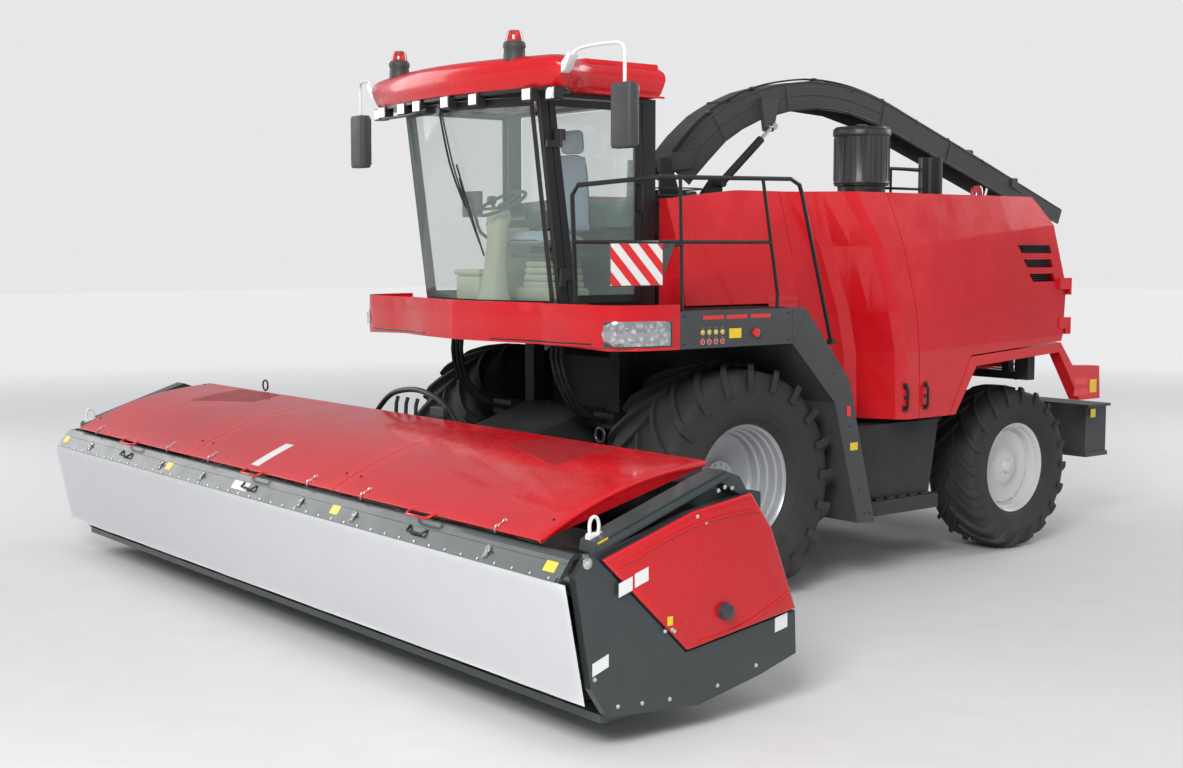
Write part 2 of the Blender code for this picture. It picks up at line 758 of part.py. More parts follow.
def rear_edge(z):
    """Station of the rear edge of the rear doors at a height."""
    for low, high in zip(LEVELS, LEVELS[1:]):
        if z <= high[1]:
            return mix(low[7], high[7], (z - low[1]) / (high[1] - low[1]))
    return LEVELS[-1][7]


def make_rear_panel():
    """Rear wall with its cooling screen and the outer hinge lugs of the rear doors."""
    outer = []
    for level in LEVELS[1:]:
        z = level[1]
        edge = level[3] - 0.055
        y = level[7] + CLEAR
        stations = (-edge, -0.9, -0.45, 0.0, 0.45, 0.9, edge)
        outer.append([Vector((x, y, z)) for x in stations])
    back = [[point + Vector((0, SHEET, 0)) for point in row] for row in outer]
    pieces = [shell(back, outer)]
    pieces.append(box(-0.95, 0.95, 3.45, 3.80, CROSS_TOP + GAP, DECK_TOP - DECK_SHEET - GAP))
    for _, side in SIDES:
        pieces.append(on_side(side, box(0.90, 1.17, 3.62, 3.70, 1.6, 1.7)))
        stay = box(0.80, 0.94, 3.70, 3.93, 1.95, 2.15)
        pieces.append(on_side(side, stay))
        lug_x = rear_hinge_x()
        for z in REAR_HINGE_LEVELS:
            low = z - 0.05
            high = z - PIN_GAP
            barrel = rod((lug_x, REAR_HINGE_Y, low), (lug_x, REAR_HINGE_Y, high), BARREL, 10)
            arm = box(1.48, lug_x, rear_edge(z) + CLEAR + 0.012, REAR_HINGE_Y + 0.008, low, high)
            pieces += [on_side(side, barrel), on_side(side, arm)]
    place("rear_panel", union(pieces), "red_paint")


def make_deck_items():
    base = DECK_TOP + GAP
    drum = [
        (base, 0),
        (base, 0.20),
        (3.20, 0.20),
        (3.20, 0.23),
        (3.62, 0.23),
        (3.62, 0.242),
        (3.67, 0.242),
        (3.69, 0.22),
        (3.69, 0),
    ]
    place("intake_drum", turned(drum, (0.90, 2.02, 0), 2, 28), "black_steel")
    stack = [
        (base, 0),
        (base, 0.13),
        (3.16, 0.13),
        (3.16, 0.11),
        (3.50, 0.11),
        (3.50, 0.095),
        (3.22, 0.095),
        (3.22, 0),
    ]
    place("exhaust", turned(stack, (0.50, 3.40, 0), 2, 24), "black_steel")
    x = 0.33
    rail = [
        (x, 2.60, base),
        (x, 2.60, 3.35),
        (x, 2.65, 3.40),
        (x, 3.45, 3.40),
        (x, 3.50, 3.35),
        (x, 3.50, base),
    ]
    pieces = [tube(rail, 0.014)]
    pieces.append(tube([(x, 2.60, 3.22), (x, 3.50, 3.22)], 0.012))
    pieces.append(tube([(x, 3.05, base), (x, 3.05, 3.40)], 0.012))
    place("deck_rail", union(pieces), "black_steel")


# ---------------------------------------------------------------- bumper and platforms
BAND_REAR = -0.785
BAND_PLAN = (
    (0.0, -1.535),
    (0.45, -1.49),
    (0.90, -1.40),
    (1.30, -1.37),
    (1.60, -1.31),
    (1.71, -1.14),
    (1.755, -0.90),
    (1.755, BAND_REAR),
)
BAND_LOW = 1.99
BAND_TOP = 2.285


def make_bumper():
    outline = list(BAND_PLAN)
    outline += [(1.70, BAND_REAR), (1.66, -1.10), (1.56, -1.26), (1.28, -1.31)]
    outline += [(0.88, -1.34), (0.43, -1.43), (0.0, -1.475)]
    left_band = outline
    low = [Vector((x, y, BAND_LOW if x < 1.5 else PLATFORM_LOW)) for x, y in left_band]
    top = [Vector((x, y, BAND_TOP if x < 1.0 else PLATFORM_TOP + 0.01)) for x, y in left_band]
    pieces = []
    for _, side in SIDES:
        pieces.append(on_side(side, loft([low, top])))
    pieces.append(box(-0.30, 0.30, -1.47, -1.22 - GAP, 2.10, 2.20))
    place("bumper", union(pieces), "red_paint")


def platform():
    """Walkway, its side panel and the wheel-arch liner."""
    front = BAND_REAR + GAP
    side_panel = [
        (front, PLATFORM_TOP),
        (0.48, PLATFORM_TOP),
        (0.974, 1.66),
        (1.287, 0.516),
        (1.09, 0.53),
        (0.816, 1.49),
        (0.344, PLATFORM_LOW),
        (front, PLATFORM_LOW),
    ]
    panel = prism(side_panel, 0, PLATFORM_OUTER - 0.03, PLATFORM_OUTER)
    floor_plan = [
        (0.93, -1.12),
        (0.93, 0.48),
        (PLATFORM_OUTER - 0.01, 0.48),
        (PLATFORM_OUTER - 0.01, front),
        (1.695, front),
        (1.655, -1.095),
        (1.555, -1.25),
        (1.275, -1.305),
        (0.93, -1.33),
    ]
    floor = prism(floor_plan, 2, PLATFORM_TOP - 0.03, PLATFORM_TOP)
    liner = [
        (front, PLATFORM_LOW),
        (0.344, PLATFORM_LOW),
        (0.816, 1.49),
        (1.09, 0.53),
        (1.11, 0.53),
        (0.836, 1.505),
        (0.352, PLATFORM_LOW + 0.02),
        (front, PLATFORM_LOW + 0.02),
    ]
    arch = prism(liner, 0, 0.96, PLATFORM_OUTER - 0.02)
    riser = box(0.93, 0.97, front, 0.48, PLATFORM_LOW, PLATFORM_TOP - 0.01)
    stay = box(0.8803, 0.94, -0.70, -0.40, 2.10, 2.20)
    return union([panel, floor, arch, riser, stay])


def make_platforms():
    for word, side in SIDES:
        place(f"platform_{word}", on_side(side, platform()), "grey_panel")


RAIL_X = 1.68
RAIL_TUBE = 0.016


def make_handrails():
    foot = PLATFORM_TOP + GAP
    x = RAIL_X
    main = [
        (1.15, -1.24, foot),
        (1.15, -1.24, 2.40),
        (1.15, -1.27, 3.05),
        (1.20, -1.26, 3.12),
        (1.60, -1.00, 3.16),
        (x, -0.92, 3.17),
        (x, 0.38, 3.19),
        (x, 0.47, 3.15),
        (x, 0.50, 3.08),
        (x, 0.80, 2.08),
        (x, 0.83, 1.98),
    ]
    pieces = [tube(main, RAIL_TUBE)]
    pieces.append(tube([(1.15, -1.26, 2.72), (1.60, -1.01, 2.72), (x, -0.93, 2.72), (x, 0.18, 2.72)], 0.013))
    pieces.append(tube([(x, -0.70, foot), (x, -0.70, 2.40), (x, -0.72, 3.17)], 0.013))
    pieces.append(tube([(x, 0.25, foot), (x, 0.25, 2.35), (x, 0.09, 3.18)], 0.013))
    board = box(x + 0.012, x + 0.022, -1.37, -0.90, 2.42, 2.71)
    pieces.append(board)
    pieces.append(tube([(x + 0.005, -1.36, 2.70), (x + 0.005, -0.70, 2.70)], 0.012))
    pieces.append(box(x - 0.01, PLATFORM_OUTER - 0.03 - GAP, 0.80, 0.85, 1.94, 1.98))
    place("handrails", union(pieces), "black_steel")


# ---------------------------------------------------------------- cab
SCREEN_LOW = (-1.18, 2.285, 0.24)  # corner station, height, bulge at the middle
SCREEN_TOP = (-1.375, 3.755, 0.20)


def cab_front(x, level):
    """Station of the windscreen at x on one of its two levels."""
    corner, _, bulge = level
    return corner - bulge * (1 - (x / CAB_HALF) ** 2)


def curved_plan(level, half, rear, inset=0.0):
    """Plan outline with the windscreen curve in front and a straight rear edge."""
    front = []
    for step in range(9):
        x = mix(half, -half, step / 8)
        front.append((x, cab_front(x, level) + inset))
    return [(half, rear), *front, (-half, rear)]


def make_cab():
    floor = prism(curved_plan(SCREEN_LOW, CAB_HALF, CAB_REAR, 0.002), 2, CAB_FLOOR - 0.03, CAB_FLOOR)
    ceiling = prism(curved_plan(SCREEN_TOP, CAB_HALF, CAB_REAR, 0.012), 2, 3.76, CAB_TOP)
    window = curved_plan(SCREEN_TOP, CAB_HALF - 0.09, CAB_REAR - 0.10, 0.16)
    ceiling = cut(ceiling, [prism(window, 2, 3.70, 3.85)])
    pieces = [floor, ceiling]
    for _, side in SIDES:
        corner = SCREEN_LOW[0]
        top = SCREEN_TOP[0]
        low_ring = [(0.858, corner), (CAB_HALF, corner), (CAB_HALF, corner + 0.07), (0.858, corner + 0.07)]
        top_ring = [(0.858, top), (CAB_HALF, top), (CAB_HALF, top + 0.07), (0.858, top + 0.07)]
        rings = [[Vector((x, y, CAB_FLOOR - 0.01)) for x, y in low_ring]]
        rings.append([Vector((x, y, 3.77)) for x, y in top_ring])
        pieces.append(on_side(side, loft(rings)))
        pieces.append(on_side(side, box(0.83, CAB_HALF, CAB_REAR - 0.13, CAB_REAR, CAB_FLOOR - 0.01, 3.77)))
    back = box(-0.84, 0.84, CAB_REAR - 0.03, CAB_REAR, CAB_FLOOR - 0.01, 2.80)
    pieces.append(back)
    sill = box(-CAB_HALF, -0.87, -1.16, CAB_REAR - 0.1, CAB_FLOOR - 0.01, CAB_FLOOR + 0.04)
    pieces.append(sill)
    pieces += make_cab_hinges()
    place("cab_frame", union(pieces), "black_steel")


def make_windscreen():
    half = 0.856
    rows = []
    for level, z in ((SCREEN_LOW, CAB_FLOOR + GAP), (SCREEN_TOP, 3.758)):
        row = []
        for step in range(11):
            x = mix(-half, half, step / 10)
            row.append(Vector((x, cab_front(x, level), z)))
        rows.append(row)
    back = [[point + Vector((0, 0.008, 0)) for point in row] for row in rows]
    place("windscreen", shell(rows, back), "cab_glass")


DOOR_Z = (2.275, 3.748)
DOOR_Y = (-0.425, -1.105, -1.292)  # rear edge, front edge low, front edge high
CAB_HINGE = (0.925, -1.20)


def door_outline(inset):
    rear, front_low, front_high = DOOR_Y
    low, high = DOOR_Z
    return [
        (rear - inset, low + inset),
        (front_low + inset * 1.1, low + inset),
        (front_high + inset * 1.1, high - inset),
        (rear - inset, high - inset),
    ]


def make_cab_door():
    frame = prism(door_outline(0.0), 0, 0.872, 0.902)
    hole = prism(door_outline(0.055), 0, 0.80, 1.0)
    pieces = [cut(frame, [hole])]
    x, y = CAB_HINGE
    for z in (2.45, 3.45):
        reach = mix(DOOR_Y[1], DOOR_Y[2], (z - DOOR_Z[0]) / (DOOR_Z[1] - DOOR_Z[0]))
        pieces.append(rod((x, y, z), (x, y, z + 0.08), 0.012, 10))
        pieces.append(box(x - 0.005, x + 0.005, min(y, reach), max(y, reach) + 0.04, z, z + 0.08))
        pieces.append(box(0.90, x + 0.005, reach + 0.02, reach + 0.045, z, z + 0.08))
    handle = tube([(0.90, -0.45, 2.95), (0.94, -0.45, 2.95), (0.94, -0.45, 3.15), (0.90, -0.45, 3.15)], 0.010)
    pieces.append(handle)
    pivot = (x, y, 0)
    place("cab_door", union(pieces), "black_steel", pivot)
    pane = prism(door_outline(0.055 + GAP), 0, 0.884, 0.890)
    place("cab_door_glass", pane, "cab_glass", pivot)


def make_cab_hinges():
    """Lugs of the door hinges, on the front pillar."""
    x, y = CAB_HINGE
    pieces = []
    for z in (2.45, 3.45):
        share = (z - CAB_FLOOR) / (3.77 - CAB_FLOOR)
        pillar = mix(SCREEN_LOW[0], SCREEN_TOP[0], share) + 0.03
        pieces.append(rod((x, y, z - 0.05), (x, y, z - PIN_GAP), 0.012, 10))
        low, high = sorted((y, pillar))
        pieces.append(box(x - 0.005, x + 0.004, low - 0.01, high + 0.01, z - 0.05, z - PIN_GAP))
        pieces.append(box(0.86, x + 0.004, pillar - 0.02, pillar + 0.02, z - 0.05, z - PIN_GAP))
    return pieces


def make_cab_roof():
    plan = [
        (0.98, -0.25),
        (1.00, -0.95),
        (1.10, -1.20),
        (ROOF_WING, -1.37),
        (ROOF_WING, -1.47),
        (0.98, -1.56),
        (0.50, -1.65),
        (0.0, -1.69),
    ]
    inset = (
        (CAB_TOP + GAP, 0.90, 0.075),
        (3.86, 0.96, 0.02),
        (3.93, 1.0, 0.0),
        (3.99, 0.985, 0.012),
        (ROOF_TOP, 0.90, 0.06),
    )
    rings = []
    for z, width, step in inset:
        ring = []
        for x, y in plan:
            middle = -0.95
            y_in = y + step if y < middle else y - step
            ring.append(Vector((x * width, y_in, z)))
        for x, y in reversed(plan[:-1]):
            y_in = y + step if y < -0.95 else y - step
            ring.append(Vector((-x * width, y_in, z)))
        rings.append(ring)
    pieces = [loft(rings)]
    for _, side in SIDES:
        pieces.append(on_side(side, rod((0.777, -1.50, 4.0), (0.777, -1.50, 4.10), 0.075, 16)))
        pieces.append(on_side(side, rod((0.777, -1.50, 4.09), (0.777, -1.50, 4.22), 0.058, 16)))
    place("cab_roof", union(pieces), "red_paint")


def make_cab_interior():
    floor = CAB_FLOOR + GAP
    mat = box(-0.55, 0.55, -1.20, -0.36, floor, floor + 0.01)
    pedestal = box(-0.22, 0.22, -0.72, -0.40, floor, 2.66)
    cushion = box(-0.27, 0.27, -0.90, -0.40, 2.64, 2.80)
    backrest = prism([(-0.50, 2.78), (-0.36, 2.78), (-0.34, 3.42), (-0.44, 3.42)], 0, -0.25, 0.25)
    arm = box(-0.42, -0.26, -0.85, -0.42, 2.55, 2.92)
    column = prism([(-1.22, floor), (-1.06, floor), (-1.02, 2.95), (-1.12, 2.98)], 0, -0.09, 0.09)
    wheel_section = []
    for step in range(6):
        turn = 2 * math.pi * step / 6
        wheel_section.append((0.016 * math.sin(turn), 0.20 + 0.016 * math.cos(turn)))
    hoop = turned(wheel_section, (0, 0, 0), 2, 20, ring=True)
    spoke = box(-0.20, 0.20, -0.02, 0.02, -0.012, 0.012)
    hub = box(-0.04, 0.04, -0.04, 0.04, -0.06, 0.02)
    steering = union([hoop, spoke, hub])
    tilt = Matrix.Rotation(math.radians(28), 4, "X")
    bmesh.ops.transform(steering, verts=steering.verts, matrix=Matrix.Translation((0, -1.04, 3.0)) @ tilt)
    crate = box(-0.50, -0.26, -1.10, -0.80, floor, 2.50)
    solid = union([mat, pedestal, cushion, backrest, arm, column, steering, crate])
    place("cab_interior", solid, "trim_plastic")


def make_mirrors():
    for word, side in SIDES:
        hook = [(1.28, -1.42, 3.93), (1.29, -1.42, 4.03), (1.33, -1.41, 4.06), (1.70, -1.31, 4.06)]
        hook += [(1.752, -1.287, 4.02), (1.752, -1.287, 3.70)]
        arm = tube(hook, 0.014)
        foot = box(ROOF_WING + GAP, 1.30, -1.46, -1.38, 3.90, 3.96)
        plan = [(1.64, -1.31), (1.72, -1.34), (1.80, -1.33), (1.862, -1.28), (1.862, -1.24), (1.64, -1.24)]
        head = prism(plan, 2, 3.36, 3.78)
        place(f"mirror_{word}", on_side(side, union([head, arm, foot])), "black_steel")


# ---------------------------------------------------------------- header
def header_end():
    """End plate with the raised lower plate, the cover and the top rail."""
    full = [
        (-3.116, 1.085),
        (-3.208, 0.975),
        (-3.104, 0.367),
        (-2.991, 0.196),
        (-2.335, 0.149),
        (-1.861, 0.241),
        (-1.576, 0.320),
        (-1.587, 0.588),
        (-1.798, 1.082),
        (-1.962, 1.302),
        (-2.40, 1.24),
        (-3.02, 1.09),
    ]
    lower = [
        (-3.116, 1.085),
        (-3.208, 0.975),
        (-3.104, 0.367),
        (-2.991, 0.196),
        (-2.335, 0.149),
        (-1.861, 0.241),
        (-1.576, 0.320),
        (-1.587, 0.575),
        (-2.44, 0.462),
        (-3.06, 1.055),
    ]
    cover = [(-3.03, 1.05), (-2.435, 0.478), (-1.597, 0.592), (-1.798, 1.082), (-1.962, 1.302), (-2.40, 1.24)]
    plate = prism(full, 0, END_INNER, 3.652)
    raised = prism(lower, 0, 3.64, HEADER_HALF)
    middle = Vector((0, -2.25, 0.85))
    rings = []
    for x, share in ((3.64, 1.0), (3.672, 1.0), (3.69, 0.93)):
        ring = []
        for y, z in cover:
            point = Vector((0, y, z))
            point = middle + (point - middle) * share
            ring.append(Vector((x, point.y, point.z)))
        rings.append(ring)
    rail = [
        (-3.06, 1.085),
        (-3.05, 1.145),
        (-2.14, 1.445),
        (-2.02, 1.40),
        (-1.955, 1.30),
        (-1.99, 1.28),
        (-2.16, 1.38),
        (-3.04, 1.08),
    ]
    beam = prism(rail, 0, 3.52, 3.66)
    return union([plate, raised, loft(rings), beam])


TROUGH = (
    (-2.97, 0.175),
    (-2.55, 0.19),
    (-2.20, 0.25),
    (-1.95, 0.32),
    (-1.80, 0.42),
    (-1.73, 0.58),
    (-1.73, 0.80),
    (-1.87, 1.22),
)
TROUGH_SHEET = 0.022


def make_header():
    for word, side in SIDES:
        place(f"header_end_{word}", on_side(side, header_end()), "dark_paint")
    inside = END_INNER - GAP
    outer = []
    for i, (y, z) in enumerate(TROUGH):
        before = TROUGH[max(i - 1, 0)]
        after = TROUGH[min(i + 1, len(TROUGH) - 1)]
        length = math.dist(before, after)
        across = ((after[1] - before[1]) / length, (before[0] - after[0]) / length)
        outer.append((y + TROUGH_SHEET * across[0], z + TROUGH_SHEET * across[1]))
    section = [*TROUGH, *reversed(outer)]
    trough = prism(section, 0, -inside, inside)
    mouth = box(-FEEDER_HALF + 0.04, FEEDER_HALF - 0.04, -1.95, -1.5, 0.42, 0.98)
    trough = cut(trough, [mouth])
    pieces = [trough]
    pieces.append(box(-inside, inside, -1.95, -1.82, 1.17, 1.29))
    pieces.append(box(-inside, inside, -3.00, -2.84, 0.155, 0.20))
    for low, high in ((-inside, -0.56), (0.56, inside)):
        pieces.append(box(low, high, -1.74, -1.60, 0.34, 0.48))
    for _, side in SIDES:
        for x in (0.50, 2.05, 3.50):
            rib = [
                (-1.70, 0.36),
                (-1.60, 0.36),
                (-1.60, 0.62),
                (-1.68, 0.84),
                (-1.83, 1.26),
                (-1.90, 1.22),
                (-1.72, 0.80),
                (-1.71, 0.55),
            ]
            pieces.append(on_side(side, prism(rib, 0, x, x + 0.07)))
        for x in (0.45, 1.60, 2.90):
            pieces.append(on_side(side, box(x, x + 0.06, -1.99, -1.90, 1.28, HOOD_HINGE[1] - 0.048)))
            pin_y, pin_z = HOOD_HINGE[0], HOOD_HINGE[1] - 0.03
            lug = rod((x, pin_y, pin_z), (x + 0.06, pin_y, pin_z), 0.022, 10)
            pieces.append(on_side(side, lug))
    skids = box(-2.6, 2.6, -2.75, -2.45, 0.135, 0.19)
    pieces.append(skids)
    place("header_frame", union(pieces), "dark_paint")


def hood_point(share):
    """Point on the crowned top of the hoods, from the front edge at 0 to the rear at 1."""
    front = Vector((-3.185, 1.130))
    rear = Vector((-1.984, 1.452))
    crown = 0.075
    y = mix(front.x, rear.x, share)
    z = mix(front.y, rear.y, share) + crown * math.sin(math.pi * share ** 0.9)
    return y, z


def make_hoods():
    ranges = (
        ("hood_right", -HOOD_HALF, -HOOD_SEAM - CLEAR / 2),
        ("hood_centre", -HOOD_SEAM + CLEAR / 2, HOOD_SEAM - CLEAR / 2),
        ("hood_left", HOOD_SEAM + CLEAR / 2, HOOD_HALF),
    )
    pivot_y, pivot_z = HOOD_HINGE
    pivot_z -= 0.03
    for name, low, high in ranges:
        section = [hood_point(step / 10) for step in range(11)]
        under = [(y + 0.003, z - HOOD_SHEET) for y, z in reversed(section)]
        pieces = [prism([*section, *under], 0, low, high)]
        flange = [(-1.999, 1.446), (-1.984, 1.448), (-1.984, pivot_z + 0.004), (-1.999, pivot_z + 0.004)]
        for _, side in SIDES:
            for x in (0.45, 1.60, 2.90):
                start = side * x if side > 0 else -x - 0.06
                knuckle = (start + 0.06 + PIN_GAP, start + 0.12)
                if knuckle[0] < low + 0.01 or knuckle[1] > high - 0.01:
                    continue
                centre = (pivot_y, pivot_z)
                pieces.append(rod((knuckle[0], *centre), (knuckle[1], *centre), 0.014, 10))
                pieces.append(prism(flange, 0, knuckle[0], knuckle[1]))
        place(name, union(pieces), "red_paint", (0, pivot_y, pivot_z))


def make_guard():
    y, z = GUARD_PIVOT
    seat = CURTAIN_TOP[1] + GAP
    section = [
        (-3.168, 1.088),
        (-3.198, 1.062),
        (-3.279, seat),
        (-3.262, seat),
        (-3.225, 0.975),
        (-3.165, 1.060),
        (-3.10, 1.062),
        (-3.10, 1.078),
        (-3.150, 1.088),
    ]
    half = END_INNER - CLEAR
    pieces = [prism(section, 0, -half, half)]
    for _, side in SIDES:
        pivot_end = END_INNER - PIN_GAP
        pin = rod((half - 0.04, y, z), (pivot_end, y, z), 0.016, 12)
        pieces.append(on_side(side, pin))
    place("guard_beam", union(pieces), "dark_paint", (0, y, z))
    top_y, top_z = CURTAIN_TOP
    low_y, low_z = CURTAIN_LOW
    sheet = [(top_y - 0.012, top_z), (top_y, top_z), (low_y, low_z), (low_y - 0.012, low_z)]
    place("curtain", prism(sheet, 0, -HEADER_HALF, HEADER_HALF), "curtain_fabric", (0, y, z))


def make_auger():
    """Crop auger: a tube with plain discs where its flights turn."""
    y, z = AUGER_CENTRE
    end = END_INNER - PIN_GAP
    shoulder = END_INNER - 0.045
    section = [(-end, 0), (-end, 0.045), (-shoulder, 0.045), (-shoulder, AUGER_TUBE)]
    count = 5
    first = 0.55
    pitch = (shoulder - 0.12 - first) / (count - 1)
    places = [first + pitch * i for i in range(count)]
    for x in [*(-station for station in reversed(places)), *places]:
        section += [(x - 0.006, AUGER_TUBE), (x - 0.006, AUGER_FLIGHT)]
        section += [(x + 0.006, AUGER_FLIGHT), (x + 0.006, AUGER_TUBE)]
    section += [(shoulder, AUGER_TUBE), (shoulder, 0.045), (end, 0.045), (end, 0)]
    place("header_auger", turned(section, (0, y, z), 0, 14), "dark_paint", (0, y, z))


def make_feeder():
    y, z = FEEDER_PIVOT
    outline = [
        (-1.5997, 0.40),
        (-1.5997, 1.02),
        (-1.20, 1.22),
        (-0.55, 1.42),
        (-0.38, 1.42),
        (-0.37, 0.74),
        (-0.80, 0.66),
        (-1.20, 0.64),
        (-1.42, 0.42),
    ]
    pieces = [prism(outline, 0, -FEEDER_HALF, FEEDER_HALF)]
    adapter = box(-0.555, 0.555, -1.5997, -1.52, 0.36, 1.06)
    pieces.append(adapter)
    for _, side in SIDES:
        boss = rod((FEEDER_HALF - 0.05, y, z), (RAIL_IN - PIN_GAP, y, z), 0.06, 16)
        pieces.append(on_side(side, boss))
        outer = LIFT_X + 0.045
        ear_y, ear_z = LIFT_EYE
        ear = [
            (ear_y - 0.05, ear_z - 0.05),
            (ear_y + 0.05, ear_z - 0.05),
            (ear_y + 0.06, 0.74),
            (ear_y - 0.06, 0.74),
        ]
        pieces.append(on_side(side, prism(ear, 0, outer, outer + 0.035)))
    pieces.append(box(-LIFT_X - 0.08, LIFT_X + 0.08, LIFT_EYE[0] - 0.06, LIFT_EYE[0] + 0.06, 0.66, 0.74))
    place("feeder_house", union(pieces), "chassis_paint", (0, y, z))


def make_lift_rams():
    base = Vector((0, *LIFT_BASE))
    eye = Vector((0, *LIFT_EYE))
    heading = (eye - base).normalized()
    reach = (eye - base).length
    pieces = []
    rods = []
    bore = 0.0255
    angle = math.atan2(heading.z, -heading.y)
    for _, side in SIDES:
        shift = Vector((LIFT_X, 0, 0))
        section = [(0.06, 0), (0.06, 0.05), (0.72, 0.05), (0.72, bore), (0.26, bore), (0.26, 0)]
        barrel = turned(section, (0, 0, 0), 1, 16)
        bmesh.ops.scale(barrel, verts=barrel.verts, vec=Vector((1, -1, 1)))
        aim = Matrix.Translation(base + shift) @ Matrix.Rotation(-angle, 4, "X")
        bmesh.ops.transform(outward(barrel), verts=barrel.verts, matrix=aim)
        pieces.append(on_side(side, barrel))
        hub = rod(base + shift - Vector((0.045, 0, 0)), base + shift + Vector((0.0445, 0, 0)), 0.05, 14)
        pieces.append(on_side(side, hub))
        neck = rod(base + shift, base + shift + heading * 0.10, 0.035, 10)
        pieces.append(on_side(side, neck))
        section = [(0.34, 0), (0.34, bore - PIN_GAP), (reach, bore - PIN_GAP), (reach, 0)]
        stem = turned(section, (0, 0, 0), 1, 16)
        bmesh.ops.scale(stem, verts=stem.verts, vec=Vector((1, -1, 1)))
        bmesh.ops.transform(outward(stem), verts=stem.verts, matrix=aim)
        rods.append(on_side(side, stem))
        end = rod(eye + shift - Vector((0.045, 0, 0)), eye + shift + Vector((0.0445, 0, 0)), 0.042, 14)
        rods.append(on_side(side, end))
    shaft = rod(base - Vector((LIFT_X, 0, 0)), base + Vector((LIFT_X, 0, 0)), 0.03, 12)
    cross = rod(eye - Vector((LIFT_X, 0, 0)), eye + Vector((LIFT_X, 0, 0)), 0.022, 12)
    place("lift_barrels", union([*pieces, shaft]), "chassis_paint", base)
    place("lift_rods", union([*rods, cross]), "chrome_rod", eye)


# ---------------------------------------------------------------- spout
# Top line of the closed chute: station, height and depth.
SPOUT_LINE = (
    (0.52, 3.34, 0.25),
    (0.60, 3.46, 0.27),
    (0.76, 3.62, 0.28),
    (0.99, 3.80, 0.27),
    (1.22, 3.92, 0.26),
    (1.50, 4.03, 0.255),
    (1.85, 4.11, 0.25),
    (2.25, 4.15, 0.245),
    (2.70, 4.12, 0.24),
    (3.15, 4.02, 0.235),
    (3.60, 3.87, 0.23),
    (4.10, 3.70, 0.225),
    (4.60, 3.53, 0.22),
    (5.09, 3.36, 0.215),
)
FLAP_LINE = (
    (5.11, 3.355, 0.20),
    (5.35, 3.275, 0.19),
    (5.60, 3.19, 0.18),
    (5.78, 3.125, 0.17),
    (SPOUT_TIP_Y, 3.060, 0.15),
)


def channel(line, half, wall):
    """Chute with a top and two sides, open below, along a line of (y, z, depth)."""
    rings = []
    for i, (y, z, depth) in enumerate(line):
        before = line[max(i - 1, 0)]
        after = line[min(i + 1, len(line) - 1)]
        along = Vector((0, after[0] - before[0], after[1] - before[1])).normalized()
        down = Vector((0, along.z, -along.y))
        top = Vector((0, y, z))
        wide = Vector((half, 0, 0))
        thin = Vector((half - wall, 0, 0))
        ring = [top - wide, top + wide, top + wide + down * depth, top + thin + down * depth]
        ring += [top + thin + down * wall, top - thin + down * wall]
        ring += [top - thin + down * depth, top - wide + down * depth]
        rings.append(ring)
    return loft(rings)


def make_spout():
    y, z = SPOUT_PIVOT
    axis = (0, SPOUT_AXIS_Y, 0)
    collar = [
        (TURRET_LOW, 0.20),
        (TURRET_LOW, 0.36),
        (TURRET_LOW + 0.04, 0.36),
        (TURRET_LOW + 0.06, 0.28),
        (TURRET_LOW + 0.10, 0.26),
        (TURRET_LOW + 0.10, 0.20),
    ]
    pieces = [turned(collar, axis, 2, 24, ring=True)]
    for _, side in SIDES:
        ear = [
            (y - 0.06, TURRET_LOW + 0.06),
            (y + 0.16, TURRET_LOW + 0.06),
            (y + 0.05, z + 0.05),
            (y - 0.05, z + 0.05),
        ]
        pieces.append(on_side(side, prism(ear, 0, 0.19, 0.215)))
    base_y, base_z = RAM_BASE
    bracket = [
        (0.78, TURRET_LOW + 0.02),
        (base_y + 0.05, TURRET_LOW + 0.02),
        (base_y + 0.05, base_z + 0.05),
        (base_y - 0.06, base_z + 0.05),
    ]
    pieces.append(prism(bracket, 0, RAM_X - 0.07, RAM_X - 0.035))
    place("spout_turret", union(pieces), "black_steel", axis)

    pieces = [channel(SPOUT_LINE, SPOUT_HALF, SPOUT_WALL)]
    for _, side in SIDES:
        arm = [
            (y - 0.05, z - 0.05),
            (y + 0.05, z - 0.06),
            (0.74, 3.34),
            (0.80, 3.50),
            (0.60, 3.46),
            (y, z + 0.06),
        ]
        pieces.append(on_side(side, prism(arm, 0, SPOUT_HALF - 0.005, 0.19 - PIN_GAP)))
        ear = box(SPOUT_HALF - 0.01, SPOUT_HALF + 0.02, 5.04, 5.13, 3.28, 3.37)
        pieces.append(on_side(side, ear))
    eye_y, eye_z = RAM_EYE
    lug = [
        (eye_y - 0.05, eye_z - 0.04),
        (eye_y + 0.05, eye_z - 0.04),
        (eye_y + 0.12, 3.96),
        (eye_y - 0.10, 3.96),
    ]
    pieces.append(prism(lug, 0, SPOUT_HALF - 0.005, RAM_X - 0.035))
    place("spout_arm", union(pieces), "black_steel", (0, y, z))

    y, z = FLAP_PIVOT
    pieces = [channel(FLAP_LINE, SPOUT_HALF - 0.02, SPOUT_WALL)]
    for _, side in SIDES:
        cheek = [(y - 0.03, z - 0.06), (y - 0.03, z - 0.02), (y + 0.10, z - 0.02), (y + 0.16, z - 0.12)]
        pieces.append(on_side(side, prism(cheek, 0, SPOUT_HALF - 0.025, SPOUT_HALF - SPOUT_WALL - PIN_GAP)))
    place("spout_flap", union(pieces), "black_steel", (0, y, z))


